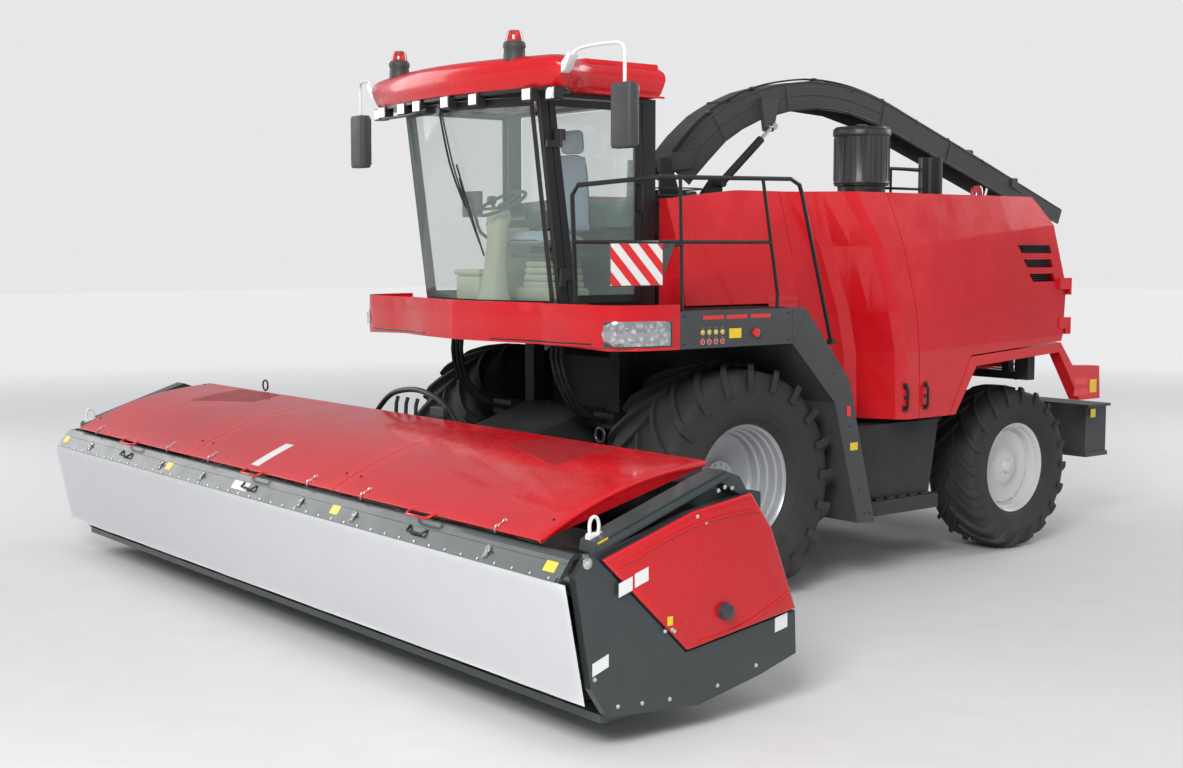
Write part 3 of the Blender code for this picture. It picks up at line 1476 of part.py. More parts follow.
def make_spout_ram():
    base = Vector((RAM_X, *RAM_BASE))
    eye = Vector((RAM_X, *RAM_EYE))
    heading = (eye - base).normalized()
    angle = math.atan2(heading.z, heading.y)
    reach = (eye - base).length
    bore = 0.0165
    aim = Matrix.Translation(base) @ Matrix.Rotation(angle, 4, "X")
    section = [(0.04, 0), (0.04, 0.035), (0.60, 0.035), (0.60, bore), (0.12, bore), (0.12, 0)]
    barrel = turned(section, (0, 0, 0), 1, 14)
    bmesh.ops.transform(barrel, verts=barrel.verts, matrix=aim)
    side = Vector((1, 0, 0))
    hub = rod(base - side * 0.0345, base + side * 0.034, 0.035, 12)
    neck = rod(base, base + heading * 0.08, 0.025, 10)
    place("spout_barrel", union([barrel, hub, neck]), "black_steel", base)
    stem = turned([(0.14, 0), (0.14, bore - PIN_GAP), (reach, bore - PIN_GAP), (reach, 0)], (0, 0, 0), 1, 14)
    bmesh.ops.transform(stem, verts=stem.verts, matrix=aim)
    end = rod(eye - side * 0.0345, eye + side * 0.034, 0.030, 12)
    place("spout_rod", union([stem, end]), "chrome_rod", eye)


def make_hoses():
    """Hydraulic hoses under the cab, between two manifolds of the chassis."""
    under = 2.08 - GAP
    bar = box(-0.80, 0.80, -1.06, -0.98, under - 0.06, under)
    pieces = [bar]
    for _, side in SIDES:
        for i in range(3):
            x = 0.61 + 0.06 * i
            route = [
                (x, -1.02, under - 0.03),
                (x, -1.05, under - 0.22),
                (x + 0.02, -0.98, 1.62),
                (x - 0.01, -0.80, 1.42),
                (x - 0.02, -0.56, 1.36),
            ]
            pieces.append(on_side(side, tube(smooth_path(route, 2), 0.018, 5)))
        block = box(0.55, 0.80, -0.60, -0.50, 1.30, 1.42)
        arm = box(0.6203, 0.70, -0.56, -0.30, 1.31, 1.41)
        pieces += [on_side(side, block), on_side(side, arm)]
    place("hose_bundle", union(pieces), "hose_rubber")


clear_scene()
make_materials()
machine = bpy.data.objects.new("machine", None)
machine.location = (0, -ORIGIN_Y, 0)
bpy.context.scene.collection.objects.link(machine)
make_wheels()
make_front_axle()
make_rear_axle()
make_knuckles()
make_chassis()
make_crop_processor()
make_engine()
make_counterweight()
make_body_sides()
make_rear_fenders()
make_body_frame()
make_rear_panel()
make_deck_items()
make_bumper()
make_platforms()
make_handrails()
make_cab()
make_windscreen()
make_cab_door()
make_cab_roof()
make_cab_interior()
make_mirrors()
make_header()
make_hoods()
make_guard()
make_auger()
make_feeder()
make_lift_rams()
make_spout()
make_spout_ram()
make_hoses()
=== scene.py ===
"""Studio view of a forage harvester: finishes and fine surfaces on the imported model.

Points are written in the machine frame, whose origin is on the ground under the front
axle: +X is the machine's left, -Y the driving direction, +Z up, in metres.
"""

import json
import math

import bmesh
import bpy
from mathutils import Matrix, Vector


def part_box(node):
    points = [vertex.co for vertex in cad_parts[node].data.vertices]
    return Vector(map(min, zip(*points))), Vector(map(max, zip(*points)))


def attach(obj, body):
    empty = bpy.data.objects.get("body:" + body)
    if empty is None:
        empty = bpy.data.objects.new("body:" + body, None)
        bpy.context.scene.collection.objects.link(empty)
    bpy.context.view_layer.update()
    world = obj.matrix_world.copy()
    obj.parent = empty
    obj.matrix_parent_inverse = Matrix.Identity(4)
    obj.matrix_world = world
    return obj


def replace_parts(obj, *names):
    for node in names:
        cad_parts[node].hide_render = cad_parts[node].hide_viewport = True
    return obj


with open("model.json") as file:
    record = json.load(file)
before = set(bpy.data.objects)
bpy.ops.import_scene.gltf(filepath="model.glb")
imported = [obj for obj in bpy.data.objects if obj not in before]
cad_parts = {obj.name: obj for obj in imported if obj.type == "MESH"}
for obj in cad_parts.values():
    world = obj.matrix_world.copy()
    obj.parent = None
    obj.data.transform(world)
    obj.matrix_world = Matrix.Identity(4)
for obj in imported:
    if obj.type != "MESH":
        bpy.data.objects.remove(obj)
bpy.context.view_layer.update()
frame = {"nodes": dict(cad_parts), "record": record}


def middle(node):
    low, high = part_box(node)
    return (low + high) / 2


AXLE = middle("front_left_tyre")
SHIFT = Vector((0, AXLE.y, 0))
REAR_AXLE_Y = middle("rear_left_tyre").y - AXLE.y
SIDES = (("left", 1), ("right", -1))
SKIN = 0.0012  # how far a thin label or stripe stands off its panel


# ---------------------------------------------------------------- materials
def new_material(name):
    material = bpy.data.materials.new(name)
    material.use_nodes = True
    tree = material.node_tree
    return material, tree, tree.nodes["Principled BSDF"]


def add(tree, kind, **settings):
    node = tree.nodes.new(kind)
    for key, value in settings.items():
        setattr(node, key, value)
    return node


def noise(tree, scale, detail=4.0, stretch=None):
    place = add(tree, "ShaderNodeTexCoord")
    source = place.outputs["Object"]
    if stretch:
        mapping = add(tree, "ShaderNodeMapping")
        mapping.inputs["Scale"].default_value = stretch
        tree.links.new(source, mapping.inputs["Vector"])
        source = mapping.outputs["Vector"]
    node = add(tree, "ShaderNodeTexNoise")
    node.inputs["Scale"].default_value = scale
    node.inputs["Detail"].default_value = detail
    tree.links.new(source, node.inputs["Vector"])
    return node.outputs["Fac"]


def ramp(tree, source, low, high, start=0.3, end=0.7):
    node = add(tree, "ShaderNodeMapRange")
    for key, value in (("From Min", start), ("From Max", end), ("To Min", low), ("To Max", high)):
        node.inputs[key].default_value = value
    tree.links.new(source, node.inputs["Value"])
    return node.outputs["Result"]


def sums(tree, operation, first, second):
    node = add(tree, "ShaderNodeMath", operation=operation)
    node.use_clamp = operation == "ADD"
    for socket, value in zip(node.inputs, (first, second)):
        if isinstance(value, (int, float)):
            socket.default_value = value
        else:
            tree.links.new(value, socket)
    return node.outputs["Value"]


def tint(tree, factor, first, second):
    node = add(tree, "ShaderNodeMix", data_type="RGBA")
    for key, value in (("A", first), ("B", second)):
        if isinstance(value, tuple):
            node.inputs[key].default_value = (*value, 1)
        else:
            tree.links.new(value, node.inputs[key])
    tree.links.new(factor, node.inputs["Factor"])
    return node.outputs["Result"]


def bump(tree, shader, source, distance, strength=0.5):
    node = add(tree, "ShaderNodeBump")
    node.inputs["Distance"].default_value = distance
    node.inputs["Strength"].default_value = strength
    tree.links.new(source, node.inputs["Height"])
    tree.links.new(node.outputs["Normal"], shader.inputs["Normal"])


def low_dust(tree, reach):
    """1 near the ground, falling to 0 at the given height, broken up by noise."""
    place = add(tree, "ShaderNodeTexCoord")
    split = add(tree, "ShaderNodeSeparateXYZ")
    tree.links.new(place.outputs["Object"], split.inputs["Vector"])
    height = ramp(tree, split.outputs["Z"], 1.0, 0.0, 0.0, reach)
    return sums(tree, "MULTIPLY", height, ramp(tree, noise(tree, 7.0, 8.0), 0.2, 1.0))


def paint(name, colour, roughness, coat=0.0, metallic=0.0, grain=70.0, depth=0.0003, spread=0.08, dust=0.0):
    """Sprayed paint: slow drift of colour, painted highlight on convex edges (a brighter copy of the paint,
    broken up by noise), uneven gloss and fine orange peel.
    """
    material, tree, shader = new_material(name)
    fine = noise(tree, grain, 6.0)
    patches = noise(tree, 5.0, 8.0)
    darker = tuple(part * (1 - spread) for part in colour)
    lighter = tuple(min(part * (1 + spread), 1.0) for part in colour)
    base = tint(tree, ramp(tree, noise(tree, 0.8, 3.0), 0.0, 1.0), darker, lighter)
    edge = add(tree, "ShaderNodeNewGeometry")
    # Painted highlight: convex edges (high pointiness) are tinted to a brighter copy of the paint colour,
    # masked by noise patches.
    painted_edge_highlight = sums(tree, "MULTIPLY", ramp(tree, edge.outputs["Pointiness"], 0.0, 0.6, 0.52, 0.62), patches)
    base = tint(tree, painted_edge_highlight, base, tuple(min(part * 1.5 + 0.03, 1.0) for part in colour))
    if dust:
        layer = sums(tree, "MULTIPLY", low_dust(tree, 1.5), dust)
        base = tint(tree, layer, base, (0.20, 0.17, 0.13))
    tree.links.new(base, shader.inputs["Base Color"])
    rough = ramp(tree, patches, roughness * 0.85, min(roughness * 1.25, 1.0))
    tree.links.new(rough, shader.inputs["Roughness"])
    shader.inputs["Metallic"].default_value = metallic
    shader.inputs["Coat Weight"].default_value = coat
    shader.inputs["Coat Roughness"].default_value = 0.06
    shader.inputs["Specular IOR Level"].default_value = 0.35
    bump(tree, shader, fine, depth)
    return material


def rubber(name):
    material, tree, shader = new_material(name)
    fine = noise(tree, 160.0, 6.0)
    scuffs = noise(tree, 4.0, 10.0)
    base = tint(tree, ramp(tree, scuffs, 0.0, 1.0), (0.020, 0.020, 0.021), (0.036, 0.035, 0.034))
    base = tint(tree, sums(tree, "MULTIPLY", low_dust(tree, 1.2), 0.35), base, (0.12, 0.105, 0.085))
    tree.links.new(base, shader.inputs["Base Color"])
    tree.links.new(ramp(tree, scuffs, 0.62, 0.86), shader.inputs["Roughness"])
    bump(tree, shader, sums(tree, "ADD", fine, scuffs), 0.0012, 0.6)
    return material


def perforated(name, colour):
    """Pressed sheet with rows of small holes, 14 mm apart."""
    material, tree, shader = new_material(name)
    place = add(tree, "ShaderNodeTexCoord")
    split = add(tree, "ShaderNodeSeparateXYZ")
    tree.links.new(place.outputs["Object"], split.inputs["Vector"])
    waves = []
    for axis in ("X", "Y"):
        turn = sums(tree, "MULTIPLY", split.outputs[axis], 2 * math.pi / 0.014)
        node = add(tree, "ShaderNodeMath", operation="SINE")
        tree.links.new(turn, node.inputs[0])
        waves.append(node.outputs["Value"])
    dots = sums(tree, "MULTIPLY", waves[0], waves[1])
    hole = ramp(tree, dots, 0.0, 1.0, 0.25, 0.55)
    base = tint(tree, hole, colour, tuple(part * 0.18 for part in colour))
    tree.links.new(base, shader.inputs["Base Color"])
    tree.links.new(ramp(tree, noise(tree, 9.0), 0.30, 0.42), shader.inputs["Roughness"])
    bump(tree, shader, sums(tree, "MULTIPLY", hole, -1.0), 0.002, 0.8)
    return material


def clear_glass(name, colour, alpha):
    material, tree, shader = new_material(name)
    film = ramp(tree, noise(tree, 2.5, 6.0), 0.02, 0.07)
    lighter = tuple(min(part * 1.12, 1.0) for part in colour)
    tree.links.new(tint(tree, noise(tree, 1.2, 2.0), colour, lighter), shader.inputs["Base Color"])
    tree.links.new(film, shader.inputs["Roughness"])
    shader.inputs["Alpha"].default_value = alpha
    shader.inputs["Specular IOR Level"].default_value = 0.9
    return material


def lamp_lens(name, colour, glow=0.0):
    material, tree, shader = new_material(name)
    facets = add(tree, "ShaderNodeTexVoronoi")
    facets.inputs["Scale"].default_value = 26.0
    place = add(tree, "ShaderNodeTexCoord")
    tree.links.new(place.outputs["Object"], facets.inputs["Vector"])
    cell = facets.outputs["Distance"]
    darker = tuple(part * 0.45 for part in colour)
    tree.links.new(
        tint(tree, ramp(tree, cell, 0.0, 1.0, 0.0, 0.6), colour, darker), shader.inputs["Base Color"],
    )
    tree.links.new(ramp(tree, noise(tree, 20.0), 0.06, 0.16), shader.inputs["Roughness"])
    shader.inputs["Metallic"].default_value = glow
    shader.inputs["Coat Weight"].default_value = 1.0
    bump(tree, shader, cell, 0.002, 0.35)
    return material


def cloth(name, colour, weave):
    material, tree, shader = new_material(name)
    place = add(tree, "ShaderNodeTexCoord")
    checks = add(tree, "ShaderNodeTexWave")
    checks.inputs["Scale"].default_value = weave
    checks.inputs["Distortion"].default_value = 1.5
    tree.links.new(place.outputs["Object"], checks.inputs["Vector"])
    fine = noise(tree, weave * 6, 5.0)
    threads = sums(tree, "ADD", checks.outputs["Fac"], fine)
    darker = tuple(part * 0.85 for part in colour)
    tree.links.new(
        tint(tree, ramp(tree, threads, 0.0, 1.0, 0.2, 1.0), darker, colour), shader.inputs["Base Color"],
    )
    tree.links.new(ramp(tree, fine, 0.75, 0.95), shader.inputs["Roughness"])
    shader.inputs["Sheen Weight"].default_value = 0.3
    bump(tree, shader, threads, 0.0006, 0.5)
    return material


def warning_stripes(name):
    """Red and white slanted bars of a width board."""
    material, tree, shader = new_material(name)
    place = add(tree, "ShaderNodeTexCoord")
    split = add(tree, "ShaderNodeSeparateXYZ")
    tree.links.new(place.outputs["Object"], split.inputs["Vector"])
    slant = sums(tree, "ADD", sums(tree, "MULTIPLY", split.outputs["Y"], 1.0), split.outputs["Z"])
    slant.node.use_clamp = False
    turn = sums(tree, "MULTIPLY", slant, 2 * math.pi / 0.172)
    wave = add(tree, "ShaderNodeMath", operation="SINE")
    tree.links.new(turn, wave.inputs[0])
    edge = ramp(tree, wave.outputs["Value"], 0.0, 1.0, -0.03, 0.03)
    tree.links.new(tint(tree, edge, (0.78, 0.02, 0.02), (0.86, 0.86, 0.84)), shader.inputs["Base Color"])
    tree.links.new(ramp(tree, noise(tree, 30.0), 0.25, 0.4), shader.inputs["Roughness"])
    bump(tree, shader, noise(tree, 300.0), 0.0002, 0.5)
    return material


LOOKS = {
    "red": paint("red_look", (0.62, 0.004, 0.010), 0.26, coat=0.35, depth=0.0001),
    "red_low": paint("red_low_look", (0.62, 0.004, 0.010), 0.26, coat=0.35, depth=0.0001, dust=0.06),
    "tyre": rubber("tyre_look"),
    "front_rim": paint("front_rim_look", (0.46, 0.47, 0.48), 0.34, metallic=0.35, dust=0.08),
    "rear_rim": paint("rear_rim_look", (0.66, 0.66, 0.64), 0.34, coat=0.2, dust=0.08),
    "header": paint("header_look", (0.030, 0.041, 0.042), 0.34, coat=0.3, dust=0.06),
    "grey": paint("grey_look", (0.055, 0.057, 0.059), 0.50, grain=200, depth=0.0006),
    "black": paint("black_look", (0.013, 0.013, 0.014), 0.38, coat=0.15),
    "spout": paint("spout_look", (0.050, 0.050, 0.050), 0.48, spread=0.18, grain=40, depth=0.0006),
    "chassis": paint("chassis_look", (0.024, 0.025, 0.027), 0.55, dust=0.15),
    "cast": paint("cast_look", (0.050, 0.051, 0.054), 0.60, grain=220, depth=0.0012, dust=0.15),
    "rod": paint("rod_look", (0.78, 0.78, 0.80), 0.10, metallic=1.0, spread=0.03),
    "zinc": paint("zinc_look", (0.62, 0.62, 0.60), 0.30, metallic=0.9, spread=0.12),
    "white": paint("white_look", (0.82, 0.82, 0.81), 0.35, spread=0.03),
    "yellow": paint("yellow_look", (0.86, 0.55, 0.03), 0.35, spread=0.05),
    "signal_red": paint("signal_red_look", (0.75, 0.02, 0.02), 0.2, coat=0.6),
    "glass": clear_glass("glass_look", (0.42, 0.54, 0.50), 0.17),
    "mirror": paint("mirror_look", (0.70, 0.74, 0.78), 0.04, metallic=1.0, spread=0.02),
    "trim": paint("trim_look", (0.44, 0.49, 0.34), 0.55, grain=400, depth=0.0004),
    "dark_trim": paint("dark_trim_look", (0.05, 0.055, 0.055), 0.6, grain=400, depth=0.0004),
    "seat": cloth("seat_look", (0.40, 0.52, 0.66), 90.0),
    "curtain": paint(
        "curtain_look", (0.66, 0.66, 0.67), 0.55, grain=500, depth=0.0003, spread=0.02, dust=0.05,
    ),
    "hose": paint("hose_look", (0.014, 0.014, 0.015), 0.45, grain=300, depth=0.0006),
    "clear": lamp_lens("clear_lens", (0.85, 0.87, 0.90), 0.6),
    "beacon": lamp_lens("beacon_lens", (0.85, 0.06, 0.05)),
    "mesh": perforated("mesh_look", (0.46, 0.008, 0.014)),
    "dark_mesh": perforated("dark_mesh_look", (0.05, 0.05, 0.05)),
    "stripes": warning_stripes("stripes_look"),
}
SLOT_LOOKS = {
    "red_body": "red",
    "tyre": "tyre",
    "front_rim": "front_rim",
    "rear_rim": "rear_rim",
    "dark_header": "header",
    "grey_panel": "grey",
    "black_steel": "black",
    "chassis": "chassis",
    "cast": "cast",
    "rod": "rod",
    "glass": "glass",
    "interior": "trim",
    "curtain": "curtain",
    "hose": "hose",
}
NODE_LOOKS = {"spout_arm": "spout", "spout_flap": "spout", "header_auger": "chassis"}


def dress_nodes():
    for entry in frame["record"]["subparts"]:
        name = entry["node"]
        item = frame["nodes"][name]
        look = LOOKS[NODE_LOOKS.get(name, SLOT_LOOKS[entry["material_slot"]])]
        if not item.material_slots:
            item.data.materials.append(look)
        for slot in item.material_slots:
            slot.link = "OBJECT"
            slot.material = look


# ---------------------------------------------------------------- shapes
class Shape:
    """Closed bodies gathered into one piece, written in the machine frame."""

    def __init__(self):
        self.points = []
        self.faces = []
        self.smooth = []

    def solid(self, points, faces, smooth=False):
        start = len(self.points)
        self.points += [Vector(point) for point in points]
        self.faces += [[start + i for i in face] for face in faces]
        self.smooth += [smooth] * len(faces)

    def grid(self, rows, smooth=True, closed=False):
        """Skin through rows of points; closed joins the last row to the first."""
        wide = len(rows[0])
        faces = []
        for r in range(len(rows) if closed else len(rows) - 1):
            nxt = (r + 1) % len(rows)
            for c in range(wide - 1):
                faces.append([r * wide + c, r * wide + c + 1, nxt * wide + c + 1, nxt * wide + c])
        self.solid([point for row in rows for point in row], faces, smooth)

    def sheet(self, rows, across, smooth=True):
        """Thin closed plate: the rows and a copy moved by a vector."""
        across = Vector(across)
        wide = len(rows[0])
        high = len(rows)
        top = [Vector(point) for row in rows for point in row]
        under = [point + across for point in top]
        half = len(top)
        faces = []
        for r in range(high - 1):
            for c in range(wide - 1):
                a = r * wide + c
                faces.append([a, a + 1, a + wide + 1, a + wide])
                faces.append([half + a + wide, half + a + wide + 1, half + a + 1, half + a])
        rim = [c for c in range(wide)] + [r * wide + wide - 1 for r in range(1, high)]
        rim += [(high - 1) * wide + c for c in range(wide - 2, -1, -1)] + [
            r * wide
            for r in range(high - 2, 0, -1)
        ]
        for i, a in enumerate(rim):
            b = rim[(i + 1) % len(rim)]
            faces.append([b, a, half + a, half + b])
        self.solid(top + under, faces, smooth)

    def prism(self, outline, axis, low, high, bevel=0.0):
        """Outline in the two other axes, drawn out along one; bevel insets both ends."""
        rings = []
        centre = Vector((sum(p[0] for p in outline), sum(p[1] for p in outline))) / len(outline)
        reach = max((Vector(p) - centre).length for p in outline)
        stations = [(low, bevel), (low + bevel, 0), (high - bevel, 0), (high, bevel)] if bevel else [
            (low, 0), (high, 0),
        ]
        for along, inset in stations:
            ring = []
            for p in outline:
                q = centre + (Vector(p) - centre) * (1 - inset / reach)
                point = [q[0], q[1]]
                point.insert(axis, along)
                ring.append(Vector(point))
            rings.append(ring)
        self.loft(rings)

    def loft(self, rings, smooth=False):
        count = len(rings[0])
        faces = [list(reversed(range(count)))]
        for r in range(len(rings) - 1):
            for c in range(count):
                d = (c + 1) % count
                faces.append([r * count + c, r * count + d, (r + 1) * count + d, (r + 1) * count + c])
        faces.append([(len(rings) - 1) * count + c for c in range(count)])
        self.solid([point for ring in rings for point in ring], faces, smooth)

    def block(self, low, high, bevel=0.004):
        (x0, y0, z0), (x1, y1, z1) = low, high
        self.prism([(x0, y0), (x1, y0), (x1, y1), (x0, y1)], 2, z0, z1, min(bevel, (z1 - z0) / 3))

    def spin(self, profile, centre, axis, sides=32, smooth=True):
        """Profile of (along, radius) turned about an axis; ends on the axis are closed."""
        centre = Vector(centre)
        frame_of = {
            0: ((1, 0, 0), (0, 1, 0), (0, 0, 1)), 1: ((0, 1, 0), (0, 0, 1), (1, 0, 0)),
            2: ((0, 0, 1), (1, 0, 0), (0, 1, 0)),
        }
        along, first, second = (Vector(v) for v in frame_of[axis])
        self.turned(profile, centre, along, first, second, sides, smooth)

    def turned(self, profile, centre, along, first, second, sides, smooth=True):
        rings = []
        for step in range(sides):
            turn = 2 * math.pi * step / sides
            out = first * math.cos(turn) + second * math.sin(turn)
            rings.append([centre + along * a + out * max(r, 0.0) for a, r in profile])
        self.grid(rings, smooth, closed=True)

    def tube(self, path, radius, sides=10, smooth_steps=0):
        """Round bar along a path, with closed ends."""
        path = [Vector(p) for p in path]
        if smooth_steps:
            path = curved(path, smooth_steps)
        tangents = []
        for i in range(len(path)):
            tangents.append((path[min(i + 1, len(path) - 1)] - path[max(i - 1, 0)]).normalized())
        side = tangents[0].orthogonal().normalized()
        rings = []
        for point, tangent in zip(path, tangents):
            side = (side - tangent * side.dot(tangent)).normalized()
            other = tangent.cross(side)
            ring = []
            for step in range(sides):
                turn = 2 * math.pi * step / sides
                ring.append(point + (side * math.cos(turn) + other * math.sin(turn)) * radius)
            rings.append(ring)
        self.loft(rings, True)

    def bolt(self, at, normal, size=0.012):
        """Hexagon head on a washer."""
        normal = Vector(normal).normalized()
        side = normal.orthogonal().normalized()
        other = normal.cross(side)
        at = Vector(at)
        washer = [(-0.001, 0), (-0.001, size * 1.25), (size * 0.2, size * 1.25), (size * 0.25, 0)]
        self.turned(washer, at, normal, side, other, 12, False)
        head = [(0, 0), (0, size), (size * 0.75, size), (size * 0.9, size * 0.8), (size * 0.9, 0)]
        self.turned(head, at, normal, side, other, 6, False)

    def piece(self, name, look, body, slot, side=1, outward=True):
        mesh = bpy.data.meshes.new(name)
        points = [Vector((p.x * side, p.y, p.z)) + SHIFT for p in self.points]
        mesh.from_pydata(points, [], self.faces)
        mesh.polygons.foreach_set("use_smooth", self.smooth)
        if outward:
            solid = bmesh.new()
            solid.from_mesh(mesh)
            bmesh.ops.remove_doubles(solid, verts=solid.verts, dist=0.00001)
            bmesh.ops.recalc_face_normals(solid, faces=solid.faces)
            solid.to_mesh(mesh)
            solid.free()
        if any(self.smooth):
            mesh.set_sharp_from_angle(angle=math.radians(38))
        mesh.materials.append(LOOKS[look])
        item = bpy.data.objects.new(name, mesh)
        bpy.context.scene.collection.objects.link(item)
        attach(item, body)
        return item


def curved(path, steps):
    """Catmull-Rom curve through the points."""
    out = []
    for i in range(len(path) - 1):
        a, b = path[max(i - 1, 0)], path[i]
        c, d = path[i + 1], path[min(i + 2, len(path) - 1)]
        for step in range(steps):
            t = step / steps
            out.append(
                0.5 * (
                    (2 * b)
                    + (c - a) * t
                    + (2 * a - 5 * b + 4 * c - d) * t * t
                    + (3 * b - a - 3 * c + d) * t ** 3
                )
            )
    out.append(path[-1])
    return out


def circle(centre, first, second, steps):
    """Closed ring of points about a centre, with its two radii as vectors."""
    ring = []
    for step in range(steps + 1):
        turn = 2 * math.pi * step / steps
        ring.append(Vector(centre) + Vector(first) * math.cos(turn) + Vector(second) * math.sin(turn))
    return ring


def squared(value, power):
    """A cosine or sine raised to a power below 1, which squares a circle off."""
    return math.copysign(abs(value) ** power, value)


def mix(a, b, t):
    return a + (b - a) * t


def lookup(table, x):
    """Value at x on a broken line of (x, value)."""
    for (x0, v0), (x1, v1) in zip(table, table[1:]):
        if x <= x1:
            return mix(v0, v1, (x - x0) / (x1 - x0))
    return table[-1][1]


# ---------------------------------------------------------------- wheels
def round_axle(centre, along, reach, turn):
    """Point beside an axle along X, at a distance and an angle from it."""
    return Vector((centre[0] + along, centre[1] + math.cos(turn) * reach, centre[2] + math.sin(turn) * reach))


def tyre(name, side, centre, radius, width, bead, lugs, body):
    """Bulged carcass with two rows of curved lugs and moulded rings on the side wall."""
    half = width / 2
    wall = radius - bead
    carcass = [
        (0.370 * width, bead),
        (0.400 * width, bead + 0.05 * wall),
        (0.440 * width, bead + 0.13 * wall),
        (0.470 * width, bead + 0.30 * wall),
        (0.478 * width, bead + 0.52 * wall),
        (0.470 * width, bead + 0.70 * wall),
        (0.445 * width, bead + 0.80 * wall),
        (0.400 * width, bead + 0.86 * wall),
        (0.250 * width, bead + 0.885 * wall),
        (0.0, bead + 0.90 * wall),
    ]
    profile = carcass + [(-a, r) for a, r in reversed(carcass[:-1])]
    profile.append((-0.370 * width, bead - 0.002))
    profile.append((0.370 * width, bead - 0.002))
    profile.append(carcass[0])
    shape = Shape()
    shape.spin(profile, centre, 0, 96)
    top_of = (
        (0.0, radius), (0.30 * width, radius - 0.004), (0.44 * width, radius - 0.022),
        (half, radius - 0.055),
    )
    root_of = [(abs(a), r - 0.012) for a, r in reversed(carcass[2:])]
    lead = 0.62 * width / radius
    for hand in (1, -1):
        for i in range(lugs):
            start = 2 * math.pi * (i + (0.5 if hand > 0 else 0.0)) / lugs
            rings = []
            for step in range(9):
                share = step / 8
                along = mix(-0.015, 0.497, share) * width
                turn = start + lead * share ** 0.75
                thick = mix(0.021, 0.030, share) * radius / 0.915
                top = lookup(top_of, max(along, 0.0))
                if share < 0.85:
                    root = lookup(root_of, max(along, 0.0))
                else:
                    root = bead + mix(0.80, 0.56, (share - 0.85) / 0.15) * wall
                lean = 0.35 * thick
                ring = []
                for offset, reach in (
                    (-thick - lean, root), (-thick, top), (thick, top), (thick + lean, root),
                ):
                    ring.append(round_axle(centre, hand * along, reach, turn + offset / radius))
                rings.append(ring)
            shape.loft(rings)
    for reach, depth in ((bead + 0.10 * wall, 0.004), (bead + 0.20 * wall, 0.003)):
        along = lookup([(r, a) for a, r in carcass], reach)
        ridge = [(along - 0.004, reach - 0.006), (along + depth, reach), (along - 0.004, reach + 0.006)]
        shape.spin([*ridge, ridge[0]], centre, 0, 96)
    item = shape.piece(f"{name}_tyre_lugged", "tyre", body, "tyre", side)
    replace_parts(item, f"{name}_tyre")


def rim(name, side, centre, profile, look, slot, body, bolts, extras=None):
    """Pressed wheel disc turned from its profile, with its ring of wheel nuts."""
    shape = Shape()
    shape.spin(profile, centre, 0, 96)
    bolt_ring, count, face, size = bolts
    for i in range(count):
        turn = 2 * math.pi * (i + 0.5) / count
        shape.bolt(round_axle(centre, face, bolt_ring, turn), (1, 0, 0), size)
    if extras:
        extras(shape, centre)
    item = shape.piece(f"{name}_rim_pressed", look, body, slot, side)
    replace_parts(item, f"{name}_rim")


def valve(shape, centre, reach, along):
    root = round_axle(centre, along, reach, math.radians(100))
    shape.tube([root, root + Vector((0.03, -0.002, -0.012)), root + Vector((0.06, -0.004, -0.03))], 0.006)


def make_wheels():
    front_centre = (abs(AXLE.x), 0.0, AXLE.z)
    rear = middle("rear_left_tyre")
    rear_centre = (rear.x, REAR_AXLE_Y, rear.z)
    front_rim = [
        (-0.2775, 0.457),
        (-0.2775, 0.430),
        (-0.240, 0.420),
        (-0.075, 0.395),
        (-0.080, 0.300),
        (-0.072, 0.210),
        (-0.060, 0.165),
        (-0.425, 0.150),
        (-0.425, 0.0),
        (0.020, 0.0),
        (0.020, 0.075),
        (0.010, 0.085),
        (0.000, 0.090),
        (0.000, 0.150),
        (-0.020, 0.160),
        (-0.045, 0.205),
        (-0.052, 0.300),
        (-0.048, 0.345),
        (-0.025, 0.368),
        (0.035, 0.374),
        (0.045, 0.392),
        (0.110, 0.396),
        (0.120, 0.412),
        (0.185, 0.416),
        (0.196, 0.430),
        (0.245, 0.434),
        (0.256, 0.450),
        (0.280, 0.462),
        (0.284, 0.474),
        (0.279, 0.474),
        (0.2775, 0.457),
        (-0.2775, 0.457),
    ]
    rear_rim = [
        (-0.192, 0.400),
        (-0.192, 0.370),
        (-0.02, 0.350),
        (0.02, 0.30),
        (0.03, 0.12),
        (-0.22, 0.11),
        (-0.22, 0.0),
        (0.120, 0.0),
        (0.120, 0.048),
        (0.108, 0.056),
        (0.098, 0.060),
        (0.092, 0.115),
        (0.088, 0.150),
        (0.066, 0.175),
        (0.058, 0.215),
        (0.056, 0.262),
        (0.070, 0.300),
        (0.074, 0.322),
        (0.060, 0.336),
        (0.062, 0.344),
        (0.120, 0.350),
        (0.132, 0.366),
        (0.170, 0.372),
        (0.182, 0.392),
        (0.194, 0.404),
        (0.198, 0.414),
        (0.193, 0.414),
        (0.192, 0.400),
        (-0.192, 0.400),
    ]

    def hand_holes(shape, centre):
        for turn in (math.radians(118), math.radians(298)):
            at = round_axle(centre, 0.0, 0.318, turn)
            pad = [(0.070, 0.0), (0.0765, 0.022), (0.0765, 0.026), (0.070, 0.028)]
            shape.spin(pad, at, 0, 20)
        valve(shape, centre, 0.345, 0.07)

    for word, side in SIDES:
        tyre(f"front_{word}", side, front_centre, 0.915, 0.75, 0.457, 20, f"front_wheel_{word}")
        tyre(f"rear_{word}", side, rear_centre, 0.725, 0.52, 0.40, 20, f"rear_wheel_{word}")
        rim(f"front_{word}", side, front_centre, front_rim, "front_rim", "front_rim", f"front_wheel_{word}",
            (0.122, 12, 0.0, 0.013), lambda shape, centre: valve(shape, centre, 0.385, 0.04))
        rim(f"rear_{word}", side, rear_centre, rear_rim, "rear_rim", "rear_rim", f"rear_wheel_{word}",
            (0.098, 8, 0.093, 0.012), hand_holes)


